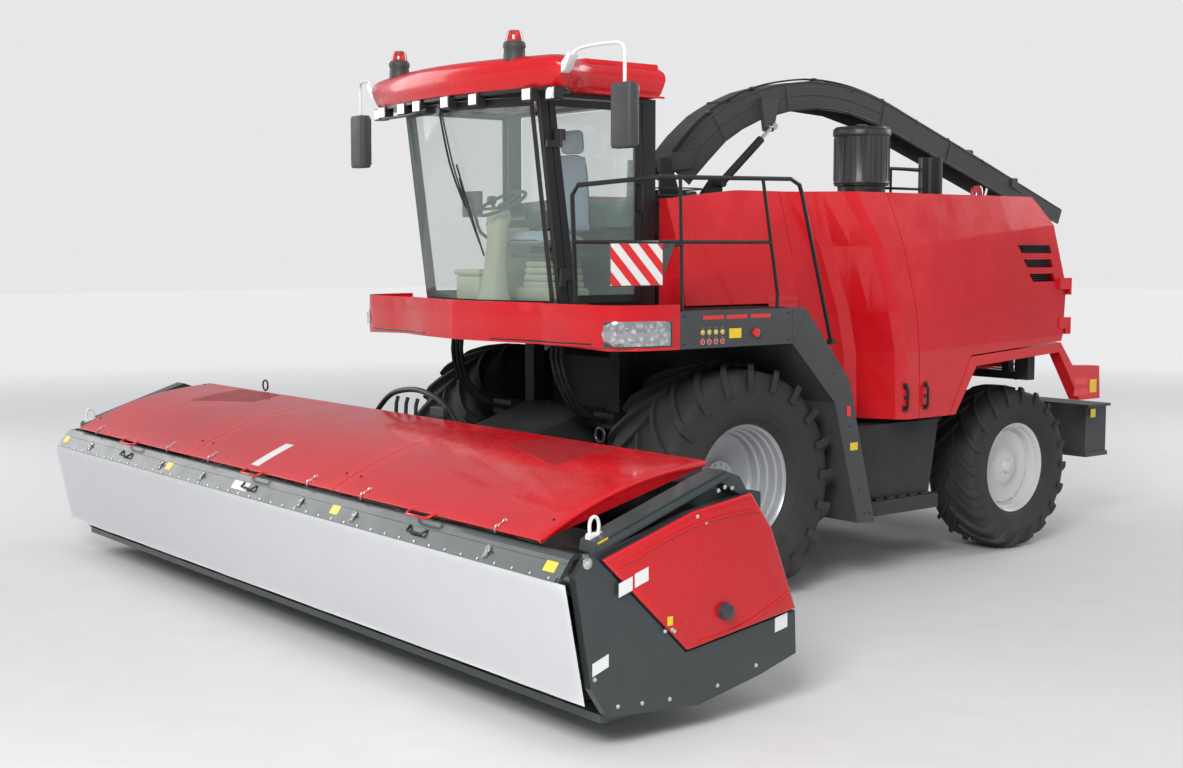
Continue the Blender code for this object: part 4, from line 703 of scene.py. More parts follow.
# ---------------------------------------------------------------- header
HOOD_FRONT = (-3.185, 1.130)
HOOD_REAR = (-1.984, 1.452)
HOOD_SEAM = 1.10
HOOD_END = 3.35
HOOD_SHEET = 0.012
BEAM_HIGH = Vector((-3.198, 1.062))  # front face of the guard beam
BEAM_LOW = Vector((-3.279, 0.9503))
BEAM_OUT = Vector((0, -0.8096, 0.5870))


def hood_z(y):
    share = min(max((y - HOOD_FRONT[0]) / (HOOD_REAR[0] - HOOD_FRONT[0]), 0.0), 1.0)
    return mix(HOOD_FRONT[1], HOOD_REAR[1], share) + 0.075 * math.sin(math.pi * share ** 0.9)


def hood_point(x, y, lift=0.0):
    edge = max(abs(x) - (HOOD_END - 0.05), 0.0) / 0.05
    return Vector((x, y, hood_z(y) - 0.010 * edge * edge + lift))


def hood(name, low, high, body):
    """Crowned hood sheet between two stations across, with its rolled edge, end cap and pull bar."""
    shape = Shape()
    xs = [mix(low, high, i / 16) for i in range(17)]
    if high > HOOD_END - 0.01:
        xs += [HOOD_END - 0.05, HOOD_END - 0.035, HOOD_END - 0.02, HOOD_END - 0.008]
    if low < -HOOD_END + 0.01:
        xs += [-HOOD_END + 0.05, -HOOD_END + 0.035, -HOOD_END + 0.02, -HOOD_END + 0.008]
    xs = sorted(set(round(x, 5) for x in xs))
    ys = [mix(HOOD_FRONT[0], HOOD_REAR[0], i / 28) for i in range(29)]
    rows = [[hood_point(x, y) for x in xs] for y in ys]
    shape.sheet(rows, (0, 0.002, -HOOD_SHEET))
    front_y, front_z = HOOD_FRONT
    roll = [(low, front_y + 0.006, front_z - 0.007), (high, front_y + 0.006, front_z - 0.007)]
    shape.tube(roll, 0.0065, 12)
    for side in (1, -1):
        if abs((high if side > 0 else low) - side * HOOD_END) > 0.01:
            continue
        x = side * (HOOD_END - 0.002)
        cap = []
        for y in ys:
            chord = mix(front_z - 0.014, HOOD_REAR[1] - 0.03, (y - front_y) / (HOOD_REAR[0] - front_y))
            cap.append(
                [
                    Vector((x, y, hood_z(y) - 0.011)),
                    Vector((x - side * 0.012, y, min(chord, hood_z(y) - 0.012))),
                ]
            )
        shape.sheet(cap, (-side * 0.004, 0, 0), False)
    middle_x = 2.19 * (1 if low > 0 else -1) if abs(low + high) > 0.1 else 0.0
    bar = [
        (middle_x - 0.125, front_y - 0.004, front_z - 0.004),
        (middle_x - 0.118, front_y - 0.045, front_z - 0.018),
        (middle_x - 0.100, front_y - 0.060, front_z - 0.022),
        (middle_x + 0.100, front_y - 0.060, front_z - 0.022),
        (middle_x + 0.118, front_y - 0.045, front_z - 0.018),
        (middle_x + 0.125, front_y - 0.004, front_z - 0.004),
    ]
    shape.tube(bar, 0.009, 10)
    item = shape.piece(f"{name}_skin", "red", body, "red_body")
    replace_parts(item, name)
    small = Shape()
    for x in (low + 0.09, high - 0.09):
        for y in (-3.03, -2.06):
            if abs(x) > HOOD_SEAM + 0.2 or y < -2.5:
                small.bolt(hood_point(x, y, 0.0005), (0, -0.35, 1), 0.007)
    for x in (mix(low, high, 0.25), mix(low, high, 0.75)):
        small.block((x - 0.03, -2.02, hood_z(-1.99) - 0.075), (x + 0.03, -1.975, hood_z(-1.99) - 0.014))
    small.piece(f"{name}_fittings", "black", body, "black_steel")


def quad_patch(name, corners, look, body, slot, steps=12):
    """Thin patch on a hood between four (x, y) corners."""
    a, b, c, d = (Vector(p) for p in corners)
    rows = []
    for r in range(steps + 1):
        row = []
        for q in range(steps + 1):
            point = a.lerp(b, q / steps).lerp(d.lerp(c, q / steps), r / steps)
            row.append(hood_point(point.x, point.y, SKIN))
        rows.append(row)
    shape = Shape()
    shape.sheet(rows, (0, 0, -SKIN * 0.9))
    shape.piece(name, look, body, slot)


def make_hoods():
    gap = 0.004
    hood("hood_right", -HOOD_END, -HOOD_SEAM - gap, "hood_right")
    hood("hood_centre", -HOOD_SEAM + gap, HOOD_SEAM - gap, "hood_centre")
    hood("hood_left", HOOD_SEAM + gap, HOOD_END, "hood_left")
    near = ((1.79, -2.30), (2.58, -2.51), (2.59, -2.02), (1.89, -2.02))
    quad_patch("hood_left_screen", near, "mesh", "hood_left", "red_body")
    quad_patch("hood_right_screen", [(-x, y) for x, y in near], "mesh", "hood_right", "red_body")
    stripe = ((-0.145, -3.145), (-0.035, -3.145), (-0.035, -2.865), (-0.145, -2.865))
    quad_patch("hood_centre_stripe", stripe, "white", "hood_centre", "red_body")


def beam_point(x, share, out=0.0):
    """Point on the front face of the guard beam; share 0 is its lower edge."""
    y = mix(BEAM_LOW.x, BEAM_HIGH.x, share)
    z = mix(BEAM_LOW.y, BEAM_HIGH.y, share)
    return Vector((x, y, z)) + BEAM_OUT * out


def beam_label(shape, x, wide, low=0.35, high=0.85):
    rows = [[beam_point(x - wide / 2, share), beam_point(x + wide / 2, share)] for share in (low, high)]
    shape.sheet(rows, BEAM_OUT * SKIN, False)


def make_guard_details():
    """Plates, clamp strip, bolts, hooks and grab bars on the guard beam, and the chains on the hoods."""
    labels = Shape()
    for x in (-3.52, -1.36, 1.21, 3.50):
        beam_label(labels, x, 0.10)
    labels.piece("guard_labels_yellow", "yellow", "guard", "dark_header")
    plate = Shape()
    beam_label(plate, -0.13, 0.24, 0.30, 0.78)
    plate.piece("guard_label_white", "white", "guard", "dark_header")
    strip = Shape()
    low, high = -3.60, 3.60
    for shares, out, thick in (((0.0, 0.20), 0.001, 0.004), ((0.80, 0.85), 0.0005, 0.003)):
        face = [[beam_point(low, share, out), beam_point(high, share, out)] for share in shares]
        strip.sheet(face, BEAM_OUT * thick, False)
    strip.piece("guard_clamp_strip", "header", "guard", "dark_header")
    bolts = Shape()
    count = 44
    for i in range(count):
        bolts.bolt(beam_point(mix(low + 0.06, high - 0.06, i / (count - 1)), 0.10, 0.005), BEAM_OUT, 0.0065)
    bolts.piece("guard_bolts", "zinc", "guard", "dark_header")
    latches = Shape()
    for x in (-2.95, -1.50, -0.76, 0.76, 1.46, 2.93):
        base = beam_point(x, 0.50, 0.001)
        up = (beam_point(x, 1.0) - beam_point(x, 0.0)).normalized()
        across = Vector((0.014, 0, 0))
        plate = [[base - across + up * rise, base + across + up * rise] for rise in (-0.030, 0.030)]
        latches.sheet(plate, BEAM_OUT * 0.004, False)
        hook = base + BEAM_OUT * 0.012
        latches.tube(
            [hook - up * 0.045, hook - up * 0.01, hook + up * 0.012 + BEAM_OUT * 0.006, hook + up * 0.038],
            0.006, 8,
        )
        latches.tube(
            [hook + Vector((0.010, 0, 0)) - up * 0.02, hook + Vector((0.010, 0, 0)) + up * 0.03], 0.004, 8,
        )
        latches.bolt(hook + Vector((0.022, 0, 0)) + up * 0.005, (1, 0, 0), 0.008)
        chain = Shape()
        start = Vector((x, HOOD_FRONT[0] - 0.006, HOOD_FRONT[1] - 0.022))
        top = hood_point(x, HOOD_FRONT[0] + 0.075, 0.008)
        edge = Vector((x, HOOD_FRONT[0] - 0.004, HOOD_FRONT[1] + 0.010))
        route = [start, start.lerp(edge, 0.5), edge, edge.lerp(top, 0.35), edge.lerp(top, 0.68), top]
        for link, (a, b) in enumerate(zip(route, route[1:])):
            lean = Vector((0.006, 0, 0)) if link % 2 else Vector((0, -0.003, 0.005))
            near, far = a.lerp(b, 0.3), a.lerp(b, 0.7)
            chain.tube([a, near + lean, far + lean, b, far - lean, near - lean, a], 0.0024, 6)
        chain.bolt(top - Vector((0, 0, 0.008)), (0, -0.35, 1), 0.007)
        owner = "centre" if abs(x) < HOOD_SEAM else ("left" if x > 0 else "right")
        word = "left" if x > 0 else "right"
        chain.piece(f"latch_chain_{round(abs(x) * 100)}_{word}", "zinc", f"hood_{owner}", "rod")
    latches.piece("guard_latches", "zinc", "guard", "rod")
    catches = Shape()
    for x in (-2.19, 0.0, 2.19):
        at = Vector((x, 0, 0))
        stations = ((-0.09, 0.75, 0.004), (-0.075, 0.45, 0.02), (0.075, 0.45, 0.02), (0.09, 0.75, 0.004))
        catches.tube([at + beam_point(*station) for station in stations], 0.008, 8)
    catches.piece("guard_catches", "black", "guard", "black_steel")


def make_curtain():
    """Hanging cloth with a slight wave that grows towards its hem."""
    low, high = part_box("curtain")
    wide = high.x - low.x
    top = Vector((0, -3.279, 0.949))
    foot = Vector((0, -3.150, 0.287))
    rows = []
    for r in range(15):
        share = r / 14
        row = []
        for c in range(121):
            x = mix(-wide / 2, wide / 2, c / 120)
            wave = 0.0022 * share * math.sin(x * 5.1 + 0.6) + 0.0012 * share * math.sin(x * 13.7)
            point = top.lerp(foot, share)
            row.append(Vector((x, point.y + wave, point.z)))
        rows.append(row)
    shape = Shape()
    shape.sheet(rows, (0, 0.003, 0))
    item = shape.piece("curtain_cloth", "curtain", "guard", "curtain")
    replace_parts(item, "curtain")
    hem = Shape()
    hem.tube(
        [
            (-wide / 2 + 0.004, foot.y + 0.0015, foot.z + 0.005),
            (wide / 2 - 0.004, foot.y + 0.0015, foot.z + 0.005),
        ],
        0.0045, 8,
    )
    hem.piece("curtain_hem", "curtain", "guard", "curtain")


END_WALL = 3.680
END_PLATE = 3.6803  # where blank plates lie on the end wall
COVER_FACE = 3.7005
COVER_PLATE = 3.7012  # where blank plates lie on the end cover
COVER = ((-3.03, 1.05), (-2.435, 0.478), (-1.597, 0.592), (-1.798, 1.082), (-1.962, 1.302), (-2.40, 1.24))


def end_cover(word, side):
    """Red side cover with its rounded edge and pressed crease."""
    centre = Vector((-2.25, 0.85))
    rings = []
    for x, share in (
        (END_WALL, 1.004), (3.690, 1.004), (3.697, 0.99), (3.700, 0.965),
        (COVER_FACE, 0.80), (COVER_FACE, 0.79),
    ):
        ring = []
        for y, z in COVER:
            point = centre + (Vector((y, z)) - centre) * share
            ring.append(Vector((x, point.x, point.y)))
        rings.append(ring)
    shape = Shape()
    shape.loft(rings)
    crease = [(COVER_FACE, -2.93, 1.005), (3.704, -2.42, 1.165)]
    crease += [(3.704, -1.99, 1.205), (COVER_FACE, -1.90, 1.18)]
    shape.tube(crease, 0.006, 8, 4)
    fold = [(COVER_FACE, -1.66, 0.70), (3.703, -2.00, 0.565), (COVER_FACE, -2.36, 0.515)]
    shape.tube(fold, 0.006, 8, 4)
    shape.piece(f"header_cover_{word}", "red_low", "header", "red_body", side)


def flat_label(shape, x, y, z, wide, high, slope=0.0):
    """Blank plate lying on a vertical side wall."""
    half = wide / 2
    rise = slope * half
    low = [Vector((x, y - half, z - high / 2 - rise)), Vector((x, y + half, z - high / 2 + rise))]
    top = [Vector((x, y - half, z + high / 2 - rise)), Vector((x, y + half, z + high / 2 + rise))]
    shape.sheet([low, top], (SKIN, 0, 0), False)


def make_header_ends():
    for word, side in SIDES:
        end_cover(word, side)
        white = Shape()
        flat_label(white, COVER_PLATE, -2.887, 0.892, 0.095, 0.075, 0.30)
        flat_label(white, COVER_PLATE, -2.776, 0.930, 0.095, 0.075, 0.30)
        flat_label(white, END_PLATE, -3.041, 0.489, 0.11, 0.07, 0.35)
        flat_label(white, END_PLATE, -1.700, 0.520, 0.10, 0.085, 0.2)
        white.piece(f"header_labels_white_{word}", "white", "header", "dark_header", side)
        yellow = Shape()
        flat_label(yellow, COVER_PLATE, -2.573, 0.662, 0.04, 0.05)
        rows = [[(3.6603, -3.045, z), (3.6603, -2.975, z + 0.023)] for z in (1.095, 1.142)]
        yellow.sheet(rows, (SKIN, 0, 0), False)
        yellow.piece(f"header_labels_yellow_{word}", "yellow", "header", "dark_header", side)
        bolts = Shape()
        for y, z in ((-2.376, 1.215), (-2.312, 1.175), (-2.609, 0.610), (-2.559, 0.612), (-2.54, 0.60)):
            bolts.bolt((COVER_FACE, y, z), (1, 0, 0), 0.009)
        for y, z in (
            (-3.08, 0.419), (-2.922, 0.246), (-2.753, 0.234), (-2.556, 0.221), (-2.20, 0.235),
            (-1.90, 0.30),
        ):
            bolts.bolt((END_WALL, y, z), (1, 0, 0), 0.010)
        for y, z in ((-2.184, 1.335), (-2.136, 1.350), (-2.08, 1.34)):
            bolts.bolt((3.66, y, z), (1, 0, 0), 0.010)
        pivot = Vector((END_WALL, -3.130, 1.045))
        disc = [(0, 0), (0, 0.030), (0.006, 0.030), (0.009, 0.026), (0.009, 0)]
        bolts.spin(disc, pivot, 0, 24)
        bolts.bolt(pivot + Vector((0.009, 0, 0)), (1, 0, 0), 0.012)
        bolts.piece(f"header_bolts_{word}", "zinc", "header", "rod", side)
        knob = Shape()
        cap = [(0, 0), (0, 0.052), (0.010, 0.052), (0.040, 0.046), (0.048, 0.036), (0.050, 0)]
        knob.spin(cap, Vector((3.699, -2.170, 0.660)), 0, 8)
        rail = [(-3.055, 1.096), (-3.055, 1.128), (-2.14, 1.430), (-2.10, 1.41), (-2.14, 1.398)]
        knob.prism([(y, z) for y, z in rail], 0, 3.662, 3.672, 0.002)
        knob.piece(f"header_knob_{word}", "header", "header", "dark_header", side)
        shackle = Shape()
        foot = Vector((3.575, -3.00, 1.165))
        half = ((0.028, 0.0), (0.032, 0.05), (0.022, 0.085))
        bow = [(-y, z) for y, z in half] + [(0.0, 0.098)] + list(reversed(half))
        shackle.tube([foot + Vector((0, y, z)) for y, z in bow], 0.010, 10, 3)
        shackle.tube([foot + Vector((0, -0.05, 0.008)), foot + Vector((0, 0.05, 0.008))], 0.008, 10)
        shackle.block((3.555, -3.045, 1.130), (3.595, -2.955, 1.170))
        shackle.piece(f"header_shackle_{word}", "white", "header", "rod", side)


AUGER_AXIS = (-2.07, 0.63)


def make_header_inside():
    """Helical flights and the driving fingers of the auger, and the cutter discs."""
    y, z = AUGER_AXIS
    shape = Shape()
    shape.spin([(-3.58, 0.0), (-3.58, 0.16), (3.58, 0.16), (3.58, 0.0)], (0, y, z), 0, 40)
    for hand in (1, -1):
        turns = 5.0
        steps = 160
        rows = []
        for step in range(steps + 1):
            share = step / steps
            along = mix(3.50, 0.45, share) * hand
            turn = hand * 2 * math.pi * turns * share
            out = Vector((0, math.cos(turn), math.sin(turn)))
            centre = Vector((along, y, z))
            rows.append([centre + out * 0.158, centre + out * 0.272])
        shape.sheet(rows, (0.006 * hand, 0, 0))
    for i in range(10):
        turn = i * 2.4
        out = Vector((0, math.cos(turn), math.sin(turn)))
        at = Vector((-0.36 + 0.08 * i, y, z))
        shape.tube([at + out * 0.15, at + out * 0.268], 0.009, 8)
    item = shape.piece("header_auger_helix", "zinc", "auger", "dark_header")
    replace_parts(item, "header_auger")
    bar = Shape()
    for i in range(14):
        x = mix(-3.25, 3.25, i / 13)
        bar.spin(
            [(0.202, 0.0), (0.202, 0.14), (0.208, 0.145), (0.214, 0.10), (0.235, 0.07), (0.240, 0.0)],
            (x, -2.86, 0), 2, 20, False,
        )
    bar.piece("cutter_discs", "chassis", "header", "dark_header")
    hoop = Shape()
    arch = [
        (-0.62, -1.88, 1.30), (-0.55, -1.87, 1.42), (-0.36, -1.86, 1.56), (-0.10, -1.86, 1.615),
        (0.12, -1.86, 1.61), (0.36, -1.86, 1.55), (0.55, -1.87, 1.42), (0.62, -1.88, 1.30),
    ]
    hoop.tube(arch, 0.021, 12, 5)
    for x in (-0.30, -0.16, -0.02):
        hoop.tube([(x, -1.86, 1.32), (x, -1.85, 1.50), (x + 0.01, -1.84, 1.55)], 0.015, 10)
    hoop.block((-0.40, -1.93, 1.29), (0.20, -1.84, 1.40))
    hoop.block((0.28, -1.92, 1.29), (0.46, -1.85, 1.52))
    for x in (-2.3, 2.3):
        hoop.tube(circle((x, -1.94, 1.50), (0.045, 0, 0), (0, 0, 0.045), 16), 0.008, 8)
    hoop.piece("header_hoop", "black", "header", "dark_header")


# ---------------------------------------------------------------- cab
SCREEN_LOW = (-1.18, 2.262, 0.24)  # corner station, height, bulge at the middle
SCREEN_TOP = (-1.375, 3.757, 0.20)
CAB_HALF = 0.90
SCREEN_HALF = 0.856
RIGHT_PANE = -0.885
REAR_PANE = -0.292


def screen_point(x, z, out=0.0):
    share = (z - SCREEN_LOW[1]) / (SCREEN_TOP[1] - SCREEN_LOW[1])
    corner = mix(SCREEN_LOW[0], SCREEN_TOP[0], share)
    bulge = mix(SCREEN_LOW[2], SCREEN_TOP[2], share)
    return Vector((x, corner - bulge * (1 - (x / CAB_HALF) ** 2) - out, z))


def screen_patch(shape, x0, x1, z0, z1, out, thick, steps=24):
    rows = []
    for r in range(7):
        z = mix(z0, z1, r / 6)
        rows.append([screen_point(mix(x0, x1, c / steps), z, out) for c in range(steps + 1)])
    shape.sheet(rows, (0, thick, 0))


def make_cab_glass():
    """Windscreen with its printed border, side and rear panes, and the bars round the side pane."""
    pane = Shape()
    screen_patch(pane, -SCREEN_HALF, SCREEN_HALF, 2.264, 3.756, 0.0, 0.006, 40)
    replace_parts(pane.piece("windscreen_pane", "glass", "chassis", "glass"), "windscreen")
    border = Shape()
    screen_patch(border, -SCREEN_HALF, SCREEN_HALF, 3.69, 3.754, 0.0006, 0.0005)
    screen_patch(border, -SCREEN_HALF, SCREEN_HALF, 2.266, 2.292, 0.0006, 0.0005)
    for x0, x1 in ((-SCREEN_HALF, -0.822), (0.822, SCREEN_HALF)):
        screen_patch(border, x0, x1, 2.266, 3.754, 0.0006, 0.0005, 2)
    border.piece("windscreen_border", "black", "chassis", "glass")
    side = Shape()
    rows = [[(RIGHT_PANE, -0.42, z), (RIGHT_PANE, front, z)] for z, front in ((2.34, -1.12), (3.75, -1.30))]
    side.sheet(rows, (0.005, 0, 0), False)
    rows = [[(0.80, REAR_PANE, z), (-0.80, REAR_PANE, z)] for z in (2.84, 3.75)]
    side.sheet(rows, (0, 0.005, 0), False)
    side.piece("cab_side_glass", "glass", "chassis", "glass")
    frame_bars = Shape()
    x = RIGHT_PANE
    frame_bars.tube([(x, -0.415, 2.31), (x, -0.415, 3.76)], 0.018, 8)
    frame_bars.tube([(x, -0.41, 2.315), (x, -1.11, 2.315)], 0.018, 8)
    frame_bars.tube([(x, -0.41, 3.752), (x, -1.30, 3.752)], 0.014, 8)
    frame_bars.piece("cab_side_frame", "black", "chassis", "black_steel")


def make_wiper():
    arm = Shape()
    pivot = screen_point(-0.05, 3.70, 0.035)
    arm.tube([pivot, screen_point(0.06, 3.30, 0.055), screen_point(0.18, 2.98, 0.040)], 0.008, 8, 6)
    second = screen_point(-0.02, 3.70, 0.035)
    arm.tube([second, screen_point(0.09, 3.30, 0.050), screen_point(0.185, 2.98, 0.035)], 0.006, 8, 6)
    blade = [screen_point(mix(0.08, 0.30, i / 8), mix(3.30, 2.62, i / 8), 0.012) for i in range(9)]
    arm.tube(blade, 0.007, 8)
    bow = []
    for i in range(5):
        lift = 0.020 + 0.012 * (1 - abs(i / 2 - 1))
        bow.append(screen_point(mix(0.11, 0.27, i / 4), mix(3.20, 2.72, i / 4), lift))
    arm.tube(bow, 0.005, 8)
    arm.spin(
        [(0, 0), (0, 0.026), (0.03, 0.026), (0.035, 0.02), (0.035, 0)], pivot + Vector((0, -0.012, 0)), 1,
        20,
    )
    arm.piece("wiper", "black", "chassis", "black_steel")


def make_cab_inside():
    """Seat, armrest, steering column with its wheel, box and shelf."""
    floor = 2.262
    trim = Shape()
    column = []
    stations = (
        (floor, 0.125, -1.27, -1.03),
        (floor + 0.06, 0.105, -1.24, -1.05),
        (2.55, 0.085, -1.20, -1.06),
        (2.80, 0.080, -1.17, -1.05),
        (2.92, 0.095, -1.17, -1.02),
        (2.97, 0.070, -1.14, -1.03),
    )
    for z, wide, front, rear in stations:
        ring = []
        for step in range(16):
            turn = 2 * math.pi * step / 16
            across = squared(math.cos(turn), 0.6)
            ahead = squared(math.sin(turn), 0.6)
            ring.append(Vector((wide * across, mix(front, rear, 0.5 + 0.5 * ahead), z)))
        column.append(ring)
    trim.loft(column, True)
    trim.block((-0.56, -1.12, floor), (-0.24, -0.82, floor + 0.20), 0.02)
    trim.block((-0.575, -1.135, floor + 0.20), (-0.225, -0.805, floor + 0.245), 0.015)
    trim.block((-0.24, -0.76, floor), (0.24, -0.40, floor + 0.10), 0.02)
    for i in range(5):
        trim.block(
            (-0.20 + 0.012 * i, -0.72, floor + 0.10 + 0.055 * i),
            (0.20 - 0.012 * i, -0.42, floor + 0.15 + 0.055 * i), 0.012,
        )
    for x in (-0.875, 0.83):
        trim.tube([(x, -0.36, 2.30), (x, -0.36, 3.72)], 0.030, 12)
    trim.prism(
        [(-0.86, floor), (-0.86, 2.95), (-0.70, 2.95), (-0.62, 2.80), (-0.60, floor)], 1, -0.62, -0.34,
        0.01,
    )
    trim.piece("cab_trim", "trim", "chassis", "interior")
    dark = Shape()
    dark.block((-0.43, -0.92, 2.84), (-0.31, -0.44, 2.90), 0.02)
    dark.tube([(-0.37, -0.86, 2.90), (-0.37, -0.88, 2.98), (-0.37, -0.90, 3.04)], 0.016, 10, 3)
    dark.block((-0.40, -0.93, 3.02), (-0.34, -0.88, 3.09), 0.015)
    dark.block((-0.44, -1.14, 2.92), (-0.20, -1.11, 3.12), 0.008)
    dark.tube([(-0.32, -1.10, 2.94), (-0.36, -1.02, 2.80), (-0.38, -0.86, 2.72)], 0.013, 8, 3)
    tilt = Matrix.Translation((0, -1.07, 3.02)) @ Matrix.Rotation(math.radians(28), 4, "X")
    middle_of, right, ahead, up = tilt.translation, *tilt.to_3x3().col
    dark.tube(circle(middle_of, right * 0.20, ahead * 0.20, 32), 0.014, 10)
    for degrees in (90, 210, 330):
        turn = math.radians(degrees)
        out = right * math.cos(turn) + ahead * math.sin(turn)
        dark.tube([middle_of + out * 0.03 - up * 0.03, middle_of + out * 0.195], 0.011, 8)
    hub = [(-0.05, 0.0), (-0.05, 0.03), (-0.02, 0.042), (0.0, 0.042), (0.010, 0.03), (0.012, 0.0)]
    dark.turned(hub, middle_of - up * 0.01, up, right, ahead, 20)
    dark.block((-0.30, -0.77, 2.60), (0.30, -0.42, 2.64), 0.01)
    dark.block((-0.80, -0.62, 2.952), (-0.64, -0.36, 2.985), 0.01)
    dark.piece("cab_controls", "dark_trim", "chassis", "interior")


def cushion(name, centre, size, crown, tilt, channels=()):
    """Crowned pad with drawn-in sides, a piped seam and sewn channels across it."""
    steps = 26
    wide, deep, thick = size
    verts, faces = [], []
    for layer in (1, -1):
        for r in range(steps + 1):
            for c in range(steps + 1):
                u = 2 * c / steps - 1
                v = 2 * r / steps - 1
                pull = 1 - 0.045 * (v * v) * (1 if abs(u) > 0.9 else 0.6)
                pull_y = 1 - 0.045 * (u * u)
                round_off = (1 - abs(u) ** 5) ** 0.5 * (1 - abs(v) ** 5) ** 0.5
                height = thick / 2 * round_off
                if layer > 0:
                    height += crown * (1 - u * u) * (1 - v * v)
                    for groove in channels:
                        height -= 0.012 * math.exp(-((v - groove) / 0.05) ** 2) * round_off
                else:
                    height = height * 0.55
                verts.append(Vector((u * wide / 2 * pull, v * deep / 2 * pull_y, layer * height)))
    row = steps + 1
    base = row * row
    for r in range(steps):
        for c in range(steps):
            a = r * row + c
            faces.append([a, a + 1, a + row + 1, a + row])
            faces.append([base + a + row, base + a + row + 1, base + a + 1, base + a])
    move = Matrix.Translation(centre) @ Matrix.Rotation(tilt, 4, "X")
    shape = Shape()
    shape.solid([move @ p for p in verts], faces, True)
    item = shape.piece(name, "seat", "chassis", "interior")
    smooth = item.modifiers.new("soften", "SUBSURF")
    smooth.levels = smooth.render_levels = 1
    piping = Shape()
    loop = []
    for step in range(49):
        turn = 2 * math.pi * step / 48
        u = squared(math.cos(turn), 0.35)
        v = squared(math.sin(turn), 0.35)
        pull = 1 - 0.035 * v * v
        pull_y = 1 - 0.035 * u * u
        loop.append(move @ Vector((u * wide / 2 * pull * 0.995, v * deep / 2 * pull_y * 0.995, 0)))
    piping.tube(loop, 0.005, 8)
    piping.piece(f"{name}_piping", "dark_trim", "chassis", "interior")
    return item


def make_seat():
    base = cushion(
        "seat_cushion", Vector((0, -0.64, 2.725)), (0.50, 0.48, 0.13), 0.020, math.radians(-3),
        (-0.35, 0.25),
    )
    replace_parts(base, "cab_interior")
    cushion(
        "seat_backrest", Vector((0, -0.405, 3.10)), (0.48, 0.62, 0.12), 0.022, math.radians(94),
        (-0.45, 0.05, 0.5),
    )
    cushion("seat_headrest", Vector((0, -0.375, 3.515)), (0.27, 0.18, 0.09), 0.012, math.radians(94))


BEACON = (0.777, -1.50)
REAR_BEACON = (0.90, 3.57, 0)


def make_roof_details():
    """Work lamps under the visor and the three beacons."""
    lamps = Shape()
    cases = Shape()
    for x, y in (
        (-1.16, -1.475), (-0.98, -1.545), (-0.60, -1.60), (-0.32, -1.635), (0.10, -1.655), (0.42, -1.62),
        (0.98, -1.545), (1.16, -1.475),
    ):
        cases.block((x - 0.058, y + 0.002, 3.705), (x + 0.058, y + 0.075, 3.80), 0.008)
        lamps.prism(
            [(x - 0.048, 3.715), (x + 0.048, 3.715), (x + 0.048, 3.79), (x - 0.048, 3.79)], 1, y - 0.004,
            y + 0.004, 0.0015,
        )
    under = [(1.05, -1.20), (1.20, -1.36), (1.20, -1.46), (0.95, -1.53), (0.5, -1.60), (0.0, -1.635)]
    under += [(-x, y) for x, y in reversed(under[:-1])]
    cases.prism(under, 2, 3.775, 3.7995, 0.004)
    cases.tube(
        [(-1.14, -1.46, 3.73), (-0.90, -1.56, 3.70), (-0.45, -1.62, 3.695), (-0.20, -1.62, 3.72)], 0.011, 8,
        4,
    )
    cases.piece("work_lamp_cases", "black", "chassis", "black_steel")
    lamps.piece("work_lamp_lenses", "clear", "chassis", "glass")
    domes = Shape()
    bases = Shape()
    for side in (1, -1):
        dome = [
            (4.135, 0.0), (4.135, 0.062), (4.150, 0.064), (4.185, 0.058), (4.212, 0.048), (4.2195, 0.032),
            (4.2200, 0.0),
        ]
        domes.spin(dome, (side * BEACON[0], BEACON[1], 0), 2, 32)
        foot = [
            (4.0, 0.0), (4.0, 0.080), (4.05, 0.078), (4.085, 0.074), (4.10, 0.082), (4.125, 0.080),
            (4.140, 0.068), (4.140, 0.0),
        ]
        bases.spin(foot, (side * BEACON[0], BEACON[1], 0), 2, 32)
    domes.spin(
        [(3.10, 0.0), (3.10, 0.062), (3.14, 0.060), (3.215, 0.050), (3.235, 0.035), (3.24, 0.0)],
        REAR_BEACON, 2, 28,
    )
    bases.spin(
        [(3.045, 0.0), (3.045, 0.075), (3.08, 0.072), (3.105, 0.066), (3.105, 0.0)], REAR_BEACON, 2, 28,
    )
    domes.piece("beacon_domes", "beacon", "chassis", "red_body")
    bases.piece("beacon_bases", "grey", "chassis", "black_steel")


def roof(shape):
    """Roof cap with its visor wings and the raised rear part."""
    plan = [(0.98, -0.25), (1.00, -0.60), (1.005, -0.95), (1.04, -1.10), (1.14, -1.24), (1.235, -1.335)]
    plan += [(1.26, -1.38), (1.26, -1.45), (1.22, -1.49), (0.98, -1.56)]
    plan += [(0.50, -1.65), (0.25, -1.68), (0.0, -1.69)]
    # height, share of the plan's width, step in from its front and rear
    levels = [(3.792, 0.900, 0.075), (3.80, 0.945, 0.035), (3.83, 0.965, 0.018), (3.88, 0.985, 0.008)]
    levels += [(3.93, 1.0, 0.0), (3.965, 0.997, 0.003), (3.99, 0.985, 0.012), (4.012, 0.955, 0.030)]
    levels += [(4.024, 0.92, 0.05), (4.029, 0.85, 0.09), (4.030, 0.60, 0.30)]
    rings = []
    for z, wide, step in levels:
        ring = []
        for x, y in plan:
            ring.append(Vector((x * wide, y + step if y < -0.95 else y - step, z)))
        for x, y in reversed(plan[:-1]):
            ring.append(Vector((-x * wide, y + step if y < -0.95 else y - step, z)))
        rings.append(ring)
    shape.loft(rings, True)


